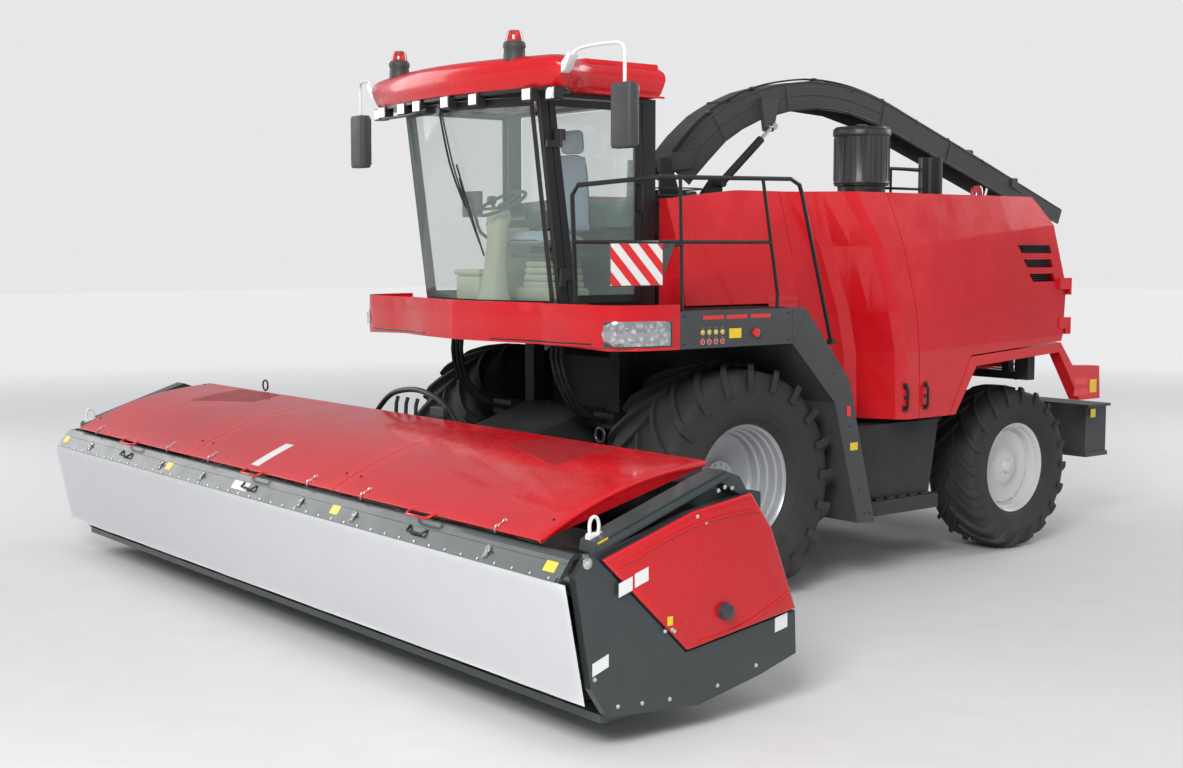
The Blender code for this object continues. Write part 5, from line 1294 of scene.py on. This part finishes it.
def make_roof():
    shape = Shape()
    roof(shape)
    for side in (1, -1):
        shape.prism(
            [(side * 0.95, -0.30), (side * 0.95, -1.00), (side * 0.80, -1.02), (side * 0.80, -0.30)][
                ::side
            ],
            2, 4.0, 4.045, 0.012,
        )
    shape.prism([(0.55, -0.45), (0.55, -1.15), (-0.55, -1.15), (-0.55, -0.45)], 2, 4.02, 4.042, 0.01)
    shape.tube([(0.985, -0.27, 3.80), (1.0, -0.95, 3.80)], 0.008, 8)
    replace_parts(shape.piece("roof_cap", "red", "chassis", "red_body"), "cab_roof")
    black = Shape()
    for side in (1, -1):
        black.block((side * 1.0 - 0.012, -1.17, 3.86), (side * 1.0 + 0.012, -1.10, 3.90), 0.004)
    black.piece("roof_marker_seats", "black", "chassis", "black_steel")


MIRROR_AT = Vector((1.751, -1.287))  # middle of the mirror head, seen from above


def make_mirrors():
    """Bent arm, rounded head and silvered face of both mirrors."""
    for word, side in SIDES:
        arm = Shape()
        hook = [
            (1.30, -1.42, 3.935), (1.34, -1.42, 4.00), (1.42, -1.395, 4.045), (1.60, -1.34, 4.060),
            (1.715, -1.305, 4.055), (1.752, -1.29, 4.01), (1.752, -1.287, 3.90), (1.752, -1.287, 3.70),
        ]
        arm.tube(hook, 0.013, 12, 4)
        arm.prism(
            [(1.262, 3.885), (1.262, 3.955), (1.345, 4.02), (1.37, 4.00), (1.30, 3.90)], 1, -1.455, -1.385,
            0.004,
        )
        arm.bolt((1.30, -1.456, 3.94), (0, -1, 0), 0.010)
        arm.piece(f"mirror_arm_{word}", "white", "chassis", "black_steel", side)
        head = Shape()
        rings = []
        for z, grow in (
            (3.352, 0.86), (3.360, 0.96), (3.380, 1.0), (3.76, 1.0), (3.780, 0.96), (3.788, 0.86),
        ):
            ring = []
            for step in range(24):
                turn = 2 * math.pi * step / 24
                x = MIRROR_AT.x + 0.108 * grow * squared(math.cos(turn), 0.45)
                back = squared(math.sin(turn), 0.5)
                y = MIRROR_AT.y + (0.045 if back > 0 else 0.055) * grow * back
                ring.append(Vector((x, y, z)))
            rings.append(ring)
        head.loft(rings, True)
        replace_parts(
            head.piece(f"mirror_head_{word}", "grey", "chassis", "black_steel", side), f"mirror_{word}",
        )
        face = Shape()
        face.prism(
            [(1.658, 3.375), (1.845, 3.375), (1.845, 3.765), (1.658, 3.765)], 1, -1.244, -1.2405, 0.001,
        )
        face.piece(f"mirror_glass_{word}", "mirror", "chassis", "black_steel", side)


# ---------------------------------------------------------------- bumper and platforms
BAND_PLAN = (
    (0.0, -1.535), (0.45, -1.49), (0.90, -1.40), (1.30, -1.37), (1.60, -1.31), (1.71, -1.14),
    (1.755, -0.90), (1.755, -0.785),
)


def band_path(steps=5):
    return curved([Vector((x, y, 0)) for x, y in BAND_PLAN[1:]], steps)


def outward_of(path, i):
    ahead = path[min(i + 1, len(path) - 1)] - path[max(i - 1, 0)]
    return Vector((ahead.y, -ahead.x, 0)).normalized() * -1


def band_strip(shape, start_x, end_y, low_high, out, thick, steps=8):
    """Strip that follows the corner of the front band, a little off its face."""
    path = [p for p in band_path(steps) if p.x >= start_x and p.y <= end_y]
    rows = []
    for share in (0.0, 0.12, 0.5, 0.88, 1.0):
        row = []
        for i, point in enumerate(path):
            t = i / (len(path) - 1)
            low, high = low_high(t)
            swell = out * (1 if 0 < share < 1 else 0.4)
            normal = outward_of(path, i)
            if normal.y > 0.05 or normal.x < -0.05:
                normal = -normal
            row.append(Vector((point.x, point.y, mix(low, high, share))) + normal * swell)
        rows.append(row)
    shape.sheet(rows, (-thick, thick, 0))


def make_bumper():
    """Smooth skin just off the front band, with a fold along its top and its lower edge."""
    shape = Shape()
    for side in (1, -1):
        path = curved([Vector((x * side, y, 0)) for x, y in BAND_PLAN], 6)
        rows = []
        for z, out in (
            (1.9905, 0.0010), (1.9975, 0.0020), (2.125, 0.0030), (2.215, 0.0024), (2.240, 0.0014),
            (2.277, 0.0012), (2.2845, 0.0008),
        ):
            row = []
            for i, point in enumerate(path):
                ahead = path[min(i + 1, len(path) - 1)] - path[max(i - 1, 0)]
                normal = Vector((ahead.y, -ahead.x, 0)).normalized() * side
                row.append(Vector((point.x, point.y, z)) + normal * out)
            rows.append(row)
        shape.sheet(rows, (0, 0.0006, 0))
    shape.piece("bumper_skin", "red", "chassis", "red_body")


def make_bumper_details():
    """Wrapped headlamps and the dark lip under the front band."""
    for word, side in SIDES:
        dark = Shape()
        band_strip(dark, 1.55, -0.845, lambda t: (1.990, 2.182), 0.0035, 0.004)
        dark.piece(f"headlamp_bezel_{word}", "dark_trim", "chassis", "glass", side)
        lens = Shape()
        rise = lambda t: (
            2.000 + 0.03 * max(1 - t / 0.15, 0),
            2.172 - 0.03 * max(1 - t / 0.12, 0) - 0.012 * max(t - 0.85, 0) / 0.15,
        )
        band_strip(lens, 1.565, -0.86, rise, 0.0085, 0.004)
        lens.piece(f"headlamp_lens_{word}", "clear", "chassis", "glass", side)
        bowls = Shape()
        for x, y, turn in ((1.62, -1.305, -65), (1.695, -1.18, -30), (1.735, -1.02, -14)):
            normal = Vector((math.cos(math.radians(turn)), math.sin(math.radians(turn)), 0))
            bowl = [(0.0, 0.0), (0.0, 0.050), (0.004, 0.056), (0.006, 0.050), (0.003, 0.020), (0.005, 0.0)]
            bowls.turned(
                bowl, Vector((x, y, 2.086)) + normal * 0.012, normal, Vector((-normal.y, normal.x, 0)),
                Vector((0, 0, 1)), 24,
            )
        bowls.piece(f"headlamp_bowls_{word}", "clear", "chassis", "glass", side)
        line = Shape()
        path = []
        for point in band_path(4):
            if point.x < 1.54:
                height = 2.012 if point.x < 1.5 else 1.985
                path.append(Vector((point.x, point.y - 0.002, height)))
        line.tube(path, 0.006, 8)
        line.piece(f"bumper_lower_lip_{word}", "black", "chassis", "red_body", side)


PANEL_FACE = 1.7502  # just off the outer face of the grey platform panel


def make_platform_details():
    """Slots, buttons, blank plates, seams and treads of the two platforms."""
    x = PANEL_FACE
    for word, side in SIDES:
        slots = Shape()
        for y in (-0.56, -0.33, -0.09):
            slots.prism(
                [(y, 2.170), (y + 0.20, 2.170), (y + 0.20, 2.198), (y, 2.198)], 0, x, x + 0.0015, 0.0005,
            )
            for i in range(3):
                slots.tube(
                    [(x + 0.002, y + 0.01, 2.176 + 0.008 * i), (x + 0.002, y + 0.19, 2.176 + 0.008 * i)],
                    0.0015, 6,
                )
        slots.piece(f"panel_slots_{word}", "signal_red", "chassis", "grey_panel", side)
        for name, look, z in (("yellow", "yellow", 2.080), ("red", "signal_red", 2.012)):
            buttons = Shape()
            for i in range(4):
                cap = [(0, 0), (0, 0.016), (0.006, 0.015), (0.010, 0.010), (0.011, 0.0)]
                buttons.spin(cap, Vector((x, -0.565 + 0.064 * i, z)), 0, 16)
            if name == "red":
                cap = [
                    (0, 0), (0, 0.018), (0.016, 0.018), (0.018, 0.032), (0.032, 0.031), (0.037, 0.022),
                    (0.038, 0.0),
                ]
                buttons.spin(cap, Vector((x, -0.055, 2.062)), 0, 24)
                buttons.prism(
                    [(0.945, 1.385), (0.99, 1.37), (0.985, 1.455), (0.945, 1.465)], 0, x, x + 0.006, 0.002,
                )
            else:
                flat_label(buttons, x, -0.245, 2.065, 0.12, 0.07)
                flat_label(buttons, x, 1.035, 1.139, 0.085, 0.06)
            buttons.piece(f"panel_{name}_{word}", look, "chassis", "grey_panel", side)
        rims = Shape()
        for z in (2.080, 2.012):
            for i in range(4):
                ring = [(0, 0.016), (0, 0.021), (0.003, 0.021), (0.004, 0.017), (0, 0.016)]
                rims.spin(ring, Vector((x, -0.565 + 0.064 * i, z)), 0, 16)
                rims.tube(
                    [
                        (x + 0.001, -0.572 + 0.064 * i, z + 0.032),
                        (x + 0.001, -0.558 + 0.064 * i, z + 0.032),
                    ],
                    0.002, 6,
                )
        rims.piece(f"panel_rims_{word}", "zinc", "chassis", "grey_panel", side)
        seams = Shape()
        for points in (((x, 0.344, 2.225), (x, 0.344, 1.975)), ((x, 0.49, 2.215), (x, 0.36, 1.972))):
            seams.tube(points, 0.0015, 6)
        for y, z in (
            (-0.74, 2.20), (-0.74, 2.0), (0.30, 2.20), (0.30, 2.0), (0.80, 1.72), (0.98, 1.30),
            (1.10, 0.80), (1.17, 0.60), (1.23, 0.60),
        ):
            seams.bolt((x, y, z), (1, 0, 0), 0.006)
        tread = [(-0.70 + 0.05 * i) for i in range(23)]
        for y in tread:
            seams.block((1.02, y, 2.2302), (1.62, y + 0.012, 2.2335), 0.001)
        seams.piece(f"platform_seams_{word}", "black", "chassis", "grey_panel", side)


def make_board():
    board = Shape()
    board.prism(
        [(-1.368, 2.422), (-0.902, 2.422), (-0.902, 2.708), (-1.368, 2.708)], 0, 1.7022, 1.7036, 0.0004,
    )
    board.piece("width_board_face", "stripes", "chassis", "black_steel")
    edge = Shape()
    frame_path = [
        (1.698, -1.370, 2.42), (1.698, -0.90, 2.42), (1.698, -0.90, 2.71), (1.698, -1.370, 2.71),
        (1.698, -1.370, 2.42),
    ]
    edge.tube(frame_path, 0.005, 8)
    edge.prism([(-0.90, 2.71), (-0.78, 2.71), (-0.90, 2.46)], 0, 1.694, 1.699, 0.001)
    edge.bolt((1.702, -0.86, 2.69), (1, 0, 0), 0.008)
    edge.piece("width_board_edge", "grey", "chassis", "black_steel")


# ---------------------------------------------------------------- body
def bar_handle(shape, x, y, low, high):
    """Moulded pull handle with its two feet and a lock."""
    path = [(x, y, low + 0.012), (x + 0.022, y - 0.002, low + 0.020), (x + 0.032, y - 0.004, low + 0.045),
            (x + 0.032, y - 0.004, high - 0.045), (x + 0.022, y - 0.002, high - 0.020), (x, y, high - 0.012)]
    shape.tube(path, 0.012, 10, 4)
    for z in (low + 0.012, high - 0.012):
        shape.block((x - 0.004, y - 0.020, z - 0.022), (x + 0.010, y + 0.020, z + 0.022), 0.004)
    shape.spin(
        [(-0.002, 0.0), (-0.002, 0.016), (0.006, 0.015), (0.008, 0.0)], (x, y + 0.002, (low + high) / 2), 0,
        16,
    )


def make_body_details():
    """Door handles, louvre slats, treads, rear lamps, blank plates and the cooling screen."""
    for word, side in SIDES:
        for door, y in (("front", 1.78), ("rear", 2.03)):
            handle = Shape()
            bar_handle(handle, 1.622, y, 1.362, 1.572)
            handle.piece(
                f"door_handle_{door}_{word}", "black", f"engine_door_{door}_{word}", "black_steel", side,
            )
        slats = Shape()
        for i in range(3):
            low = 2.63 - 0.125 * i
            start = 3.40 + 0.05 * i
            for j in range(4):
                z = low + 0.010 + 0.016 * j
                slats.prism(
                    [(1.500, z), (1.538, z + 0.006), (1.538, z + 0.010), (1.500, z + 0.004)], 1,
                    start + 0.008, 3.812, 0.0,
                )
            slats.prism(
                [(start, low - 0.002), (3.82, low - 0.002), (3.82, low + 0.072), (start, low + 0.072)], 0,
                1.490, 1.496, 0.001,
            )
        slats.piece(f"louvre_slats_{word}", "black", f"engine_door_rear_{word}", "red_body", side)
        treads = Shape()
        for step in range(7):
            y = 1.30 + 0.14 * step
            treads.block((1.462, y, 0.62), (1.505, y + 0.09, 0.64), 0.003)
        treads.piece(f"side_treads_{word}", "black", "chassis", "black_steel", side)
        lamp = Shape()
        lamp.block((1.606, 4.10, 1.34), (1.618, 4.30, 1.40), 0.004)
        lamp.block((1.606, 4.10, 1.44), (1.618, 4.30, 1.50), 0.004)
        lamp.piece(f"rear_side_lamp_{word}", "signal_red", "chassis", "red_body", side)
        amber = Shape()
        amber.block((1.606, 4.34, 1.36), (1.618, 4.44, 1.48), 0.004)
        amber.piece(f"rear_amber_lamp_{word}", "yellow", "chassis", "red_body", side)
    plates = Shape()
    for x in (-1.22, 1.18):
        rows = [[(x - 0.05, 5.1605, z), (x + 0.05, 5.1605, z)] for z in (1.06, 1.15)]
        plates.sheet(rows, (0, SKIN, 0), False)
    rows = [[(1.3005, 4.83, z), (1.3005, 4.91, z)] for z in (1.07, 1.15)]
    plates.sheet(rows, (SKIN, 0, 0), False)
    plates.piece("rear_labels_yellow", "yellow", "chassis", "grey_panel")
    screen = Shape()
    for i in range(24):
        z = 1.50 + 0.048 * i
        screen.prism(
            [(3.972, z), (3.990, z + 0.010), (3.990, z + 0.016), (3.972, z + 0.012)], 0, -1.05, 1.05, 0.0,
        )
    for x in (-1.07, -0.36, 0.36, 1.07):
        screen.block((x - 0.012, 3.970, 1.46), (x + 0.012, 3.994, 2.66), 0.003)
    screen.piece("rear_cooling_slats", "black", "chassis", "red_body")


DECK = 3.045
DRUM = (0.90, 2.02, 0)


def make_deck_details():
    """Ribbed intake drum, the rail and the fittings on the deck."""
    drum = Shape()
    profile = [(3.0, 0.0), (3.0, 0.205), (3.06, 0.205), (3.065, 0.198), (3.15, 0.197), (3.20, 0.203)]
    profile += [(3.215, 0.232), (3.22, 0.236), (3.235, 0.231), (3.60, 0.231), (3.615, 0.236), (3.62, 0.243)]
    profile += [(3.655, 0.244), (3.672, 0.236), (3.684, 0.19), (3.688, 0.10), (3.690, 0.0)]
    drum.spin(profile, DRUM, 2, 56)
    for i in range(24):
        turn = 2 * math.pi * i / 24
        x, y = DRUM[0] + 0.2325 * math.cos(turn), DRUM[1] + 0.2325 * math.sin(turn)
        drum.tube([(x, y, 3.24), (x, y, 3.598)], 0.0035, 6)
    drum.tube(
        [(0.90, 1.94, 3.685), (0.90, 1.96, 3.705), (0.90, 2.08, 3.705), (0.90, 2.10, 3.685)], 0.008, 8, 3,
    )
    drum.piece("intake_drum", "dark_mesh", "chassis", "black_steel")
    rail = Shape()
    path = [
        (0.33, 2.60, 3.046), (0.33, 2.60, 3.34), (0.33, 2.66, 3.39), (0.33, 3.44, 3.39), (0.33, 3.50, 3.34),
        (0.33, 3.50, 3.046),
    ]
    rail.tube(path, 0.012, 10, 4)
    rail.piece("deck_rail_bar", "black", "chassis", "black_steel")
    deck = Shape()
    for i in range(15):
        y = 1.0 + 0.06 * i
        deck.block((-0.62, y, DECK + 0.0005), (0.55, y + 0.014, DECK + 0.0045), 0.001)
    for x in (-1.0, 1.0):
        for y in (0.6, 1.2, 1.8, 2.4, 3.0, 3.6):
            deck.bolt((x, y, DECK + 0.001), (0, 0, 1), 0.008)
    deck.block((-0.95, 1.35, 3.045), (-0.70, 1.65, 3.105), 0.01)
    deck.spin(
        [(3.10, 0.0), (3.10, 0.07), (3.13, 0.068), (3.14, 0.05), (3.145, 0.0)], (-0.82, 1.50, 0), 2, 24,
    )
    deck.piece("deck_fittings", "black", "chassis", "black_steel")


SPOUT_HALF = 0.165
SPOUT_TOP = (  # along the top of the spout: y, z and its depth there
    (0.60, 3.46, 0.27),
    (0.76, 3.62, 0.28),
    (0.99, 3.80, 0.27),
    (1.22, 3.92, 0.26),
    (1.50, 4.03, 0.255),
    (1.85, 4.11, 0.25),
    (2.25, 4.15, 0.245),
    (2.70, 4.12, 0.24),
    (3.15, 4.02, 0.235),
    (3.60, 3.87, 0.23),
    (4.10, 3.70, 0.225),
    (4.60, 3.53, 0.22),
    (5.00, 3.39, 0.215),
)


def spout_line(share_down, x):
    """Points along the side of the spout, a share of the way down its depth."""
    out = []
    for i, (y, z, depth) in enumerate(SPOUT_TOP):
        before = SPOUT_TOP[max(i - 1, 0)]
        after = SPOUT_TOP[min(i + 1, len(SPOUT_TOP) - 1)]
        along = Vector((0, after[0] - before[0], after[1] - before[1])).normalized()
        down = Vector((0, along.z, -along.y))
        out.append(Vector((x, y, z)) + down * depth * share_down)
    return out


def make_spout_details():
    """Flanges, bolts, pipes and lamp along the spout, and the rings on its turret."""
    flange = Shape()
    for side in (1, -1):
        x = side * (SPOUT_HALF + 0.0015)
        flange.tube(curved(spout_line(0.04, x), 5), 0.0065, 8)
        flange.tube(curved(spout_line(0.96, x), 5), 0.0065, 8)
        flange.tube(curved(spout_line(0.50, x)[:9], 5), 0.004, 8)
        for i in (2, 5, 8, 10):
            top = spout_line(0.06, x)[i]
            low = spout_line(0.94, x)[i]
            flange.tube([top, top.lerp(low, 0.5) + Vector((side * 0.004, 0, 0)), low], 0.006, 8)
        for i in (1, 4, 7, 9, 11):
            for share in (0.15, 0.85):
                flange.bolt(spout_line(share, side * SPOUT_HALF)[i], (side, 0, 0), 0.008)
    for i in (3, 6, 9, 11):
        a = spout_line(-0.02, 0.160)[i]
        flange.tube([a, Vector((-0.160, a.y, a.z))], 0.007, 8)
    flange.piece("spout_flanges", "spout", "spout_arm", "black_steel")
    pipes = Shape()
    for lift, x in ((0.018, 0.120), (0.018, 0.095)):
        path = [p + Vector((0, 0, lift)) for p in curved(spout_line(0.0, x), 5)]
        pipes.tube(path, 0.0075, 8)
    for i in (2, 4, 6, 8, 10):
        y, z, _ = SPOUT_TOP[i]
        pipes.block((0.080, y - 0.015, z - 0.004), (0.135, y + 0.015, z + 0.030), 0.004)
    pipes.piece("spout_pipes", "black", "spout_arm", "black_steel")
    lamp = Shape()
    lamp.block((-0.04, 4.52, 3.575), (0.04, 4.60, 3.640), 0.01)
    lamp.tube([(0, 4.56, 3.58), (0, 4.56, 3.50)], 0.012, 8)
    lamp.piece("spout_lamp_case", "black", "spout_arm", "black_steel")
    flap = Shape()
    for side in (1, -1):
        x = side * 0.1465
        top = [(x, 5.19, 3.325), (x, 5.52, 3.210), (x, 5.92, 3.068)]
        flap.tube(top, 0.006, 8)
        low = [(x, 5.14, 3.150), (x, 5.50, 3.035), (x, 5.87, 2.925)]
        flap.tube(low, 0.006, 8)
        for y, z in ((5.30, 3.20), (5.62, 3.09), (5.85, 3.01)):
            flap.bolt((side * 0.145, y, z), (side, 0, 0), 0.008)
    for y, z in ((5.35, 3.275), (5.65, 3.170), (5.90, 3.082)):
        flap.tube([(-0.14, y, z), (0.14, y, z)], 0.007, 8)
    flap.piece("flap_flanges", "spout", "spout_flap", "black_steel")
    turret = Shape()
    for z, reach in ((3.10, 0.31), (3.16, 0.30)):
        ring = [(z, reach), (z, reach + 0.012), (z + 0.012, reach + 0.012), (z + 0.012, reach), (z, reach)]
        turret.spin(ring, (0, 0.60, 0), 2, 40)
    turret.piece("turret_rings", "cast", "spout_turret", "cast")


# ---------------------------------------------------------------- studio
def make_studio():
    floor_mesh = bpy.data.meshes.new("floor")
    floor_mesh.from_pydata([(-80, -80, 0), (80, -80, 0), (80, 80, 0), (-80, 80, 0)], [], [(0, 1, 2, 3)])
    floor = bpy.data.objects.new("floor", floor_mesh)
    bpy.context.scene.collection.objects.link(floor)
    look, tree, shader = new_material("floor_look")
    grain = noise(tree, 3.0, 6.0)
    near = tint(tree, grain, (0.74, 0.74, 0.74), (0.80, 0.80, 0.80))
    place = add(tree, "ShaderNodeTexCoord")
    reach = add(tree, "ShaderNodeVectorMath", operation="LENGTH")
    tree.links.new(place.outputs["Object"], reach.inputs[0])
    fade = ramp(tree, reach.outputs["Value"], 0.0, 1.0, 9.0, 24.0)
    tree.links.new(tint(tree, fade, near, (0.0, 0.0, 0.0)), shader.inputs["Base Color"])
    tree.links.new(sums(tree, "MULTIPLY", fade, 0.80), shader.inputs["Emission Strength"])
    shader.inputs["Emission Color"].default_value = (1.0, 1.0, 1.0, 1)
    shader.inputs["Roughness"].default_value = 0.6
    shader.inputs["Specular IOR Level"].default_value = 0.1
    floor_mesh.materials.append(look)
    world = bpy.data.worlds.new("studio")
    bpy.context.scene.world = world
    world.use_nodes = True
    background = world.node_tree.nodes["Background"]
    background.inputs["Color"].default_value = (0.85, 0.88, 0.92, 1)
    background.inputs["Strength"].default_value = 0.50
    tree = world.node_tree
    seen = tree.nodes.new("ShaderNodeBackground")
    seen.inputs["Color"].default_value = (0.80, 0.80, 0.81, 1)
    rays = tree.nodes.new("ShaderNodeLightPath")
    choose = tree.nodes.new("ShaderNodeMixShader")
    tree.links.new(rays.outputs["Is Camera Ray"], choose.inputs["Fac"])
    tree.links.new(background.outputs["Background"], choose.inputs[1])
    tree.links.new(seen.outputs["Background"], choose.inputs[2])
    tree.links.new(choose.outputs["Shader"], tree.nodes["World Output"].inputs["Surface"])
    for name, spot, size, power in (
        ("key", (9, -12, 9), 5.0, 1450),
        ("fill", (-12, -8, 7), 8.0, 650),
        ("back", (2, 14, 9), 8.0, 850),
    ):
        light = bpy.data.lights.new(name, "AREA")
        light.energy = power
        light.size = size
        lamp = bpy.data.objects.new(name, light)
        lamp.location = spot
        lamp.rotation_euler = (Vector((0, 0, 1.2)) - Vector(spot)).to_track_quat("-Z", "Y").to_euler()
        bpy.context.scene.collection.objects.link(lamp)


def make_camera():
    data = bpy.data.cameras.new("camera")
    data.sensor_width = 36
    data.lens = 48.08
    camera = bpy.data.objects.new("camera", data)
    camera.location = (10.05, AXLE.y - 8.15, 2.69)
    camera.rotation_euler = (math.radians(85.02), 0, math.radians(51.6))
    bpy.context.scene.collection.objects.link(camera)
    bpy.context.scene.camera = camera
    bpy.context.scene.view_settings.view_transform = "Standard"


dress_nodes()
make_wheels()
make_hoods()
make_guard_details()
make_curtain()
make_header_ends()
make_header_inside()
make_cab_glass()
make_wiper()
make_cab_inside()
make_seat()
make_roof()
make_roof_details()
make_mirrors()
make_bumper()
make_bumper_details()
make_platform_details()
make_board()
make_body_details()
make_deck_details()
make_spout_details()
make_studio()
make_camera()
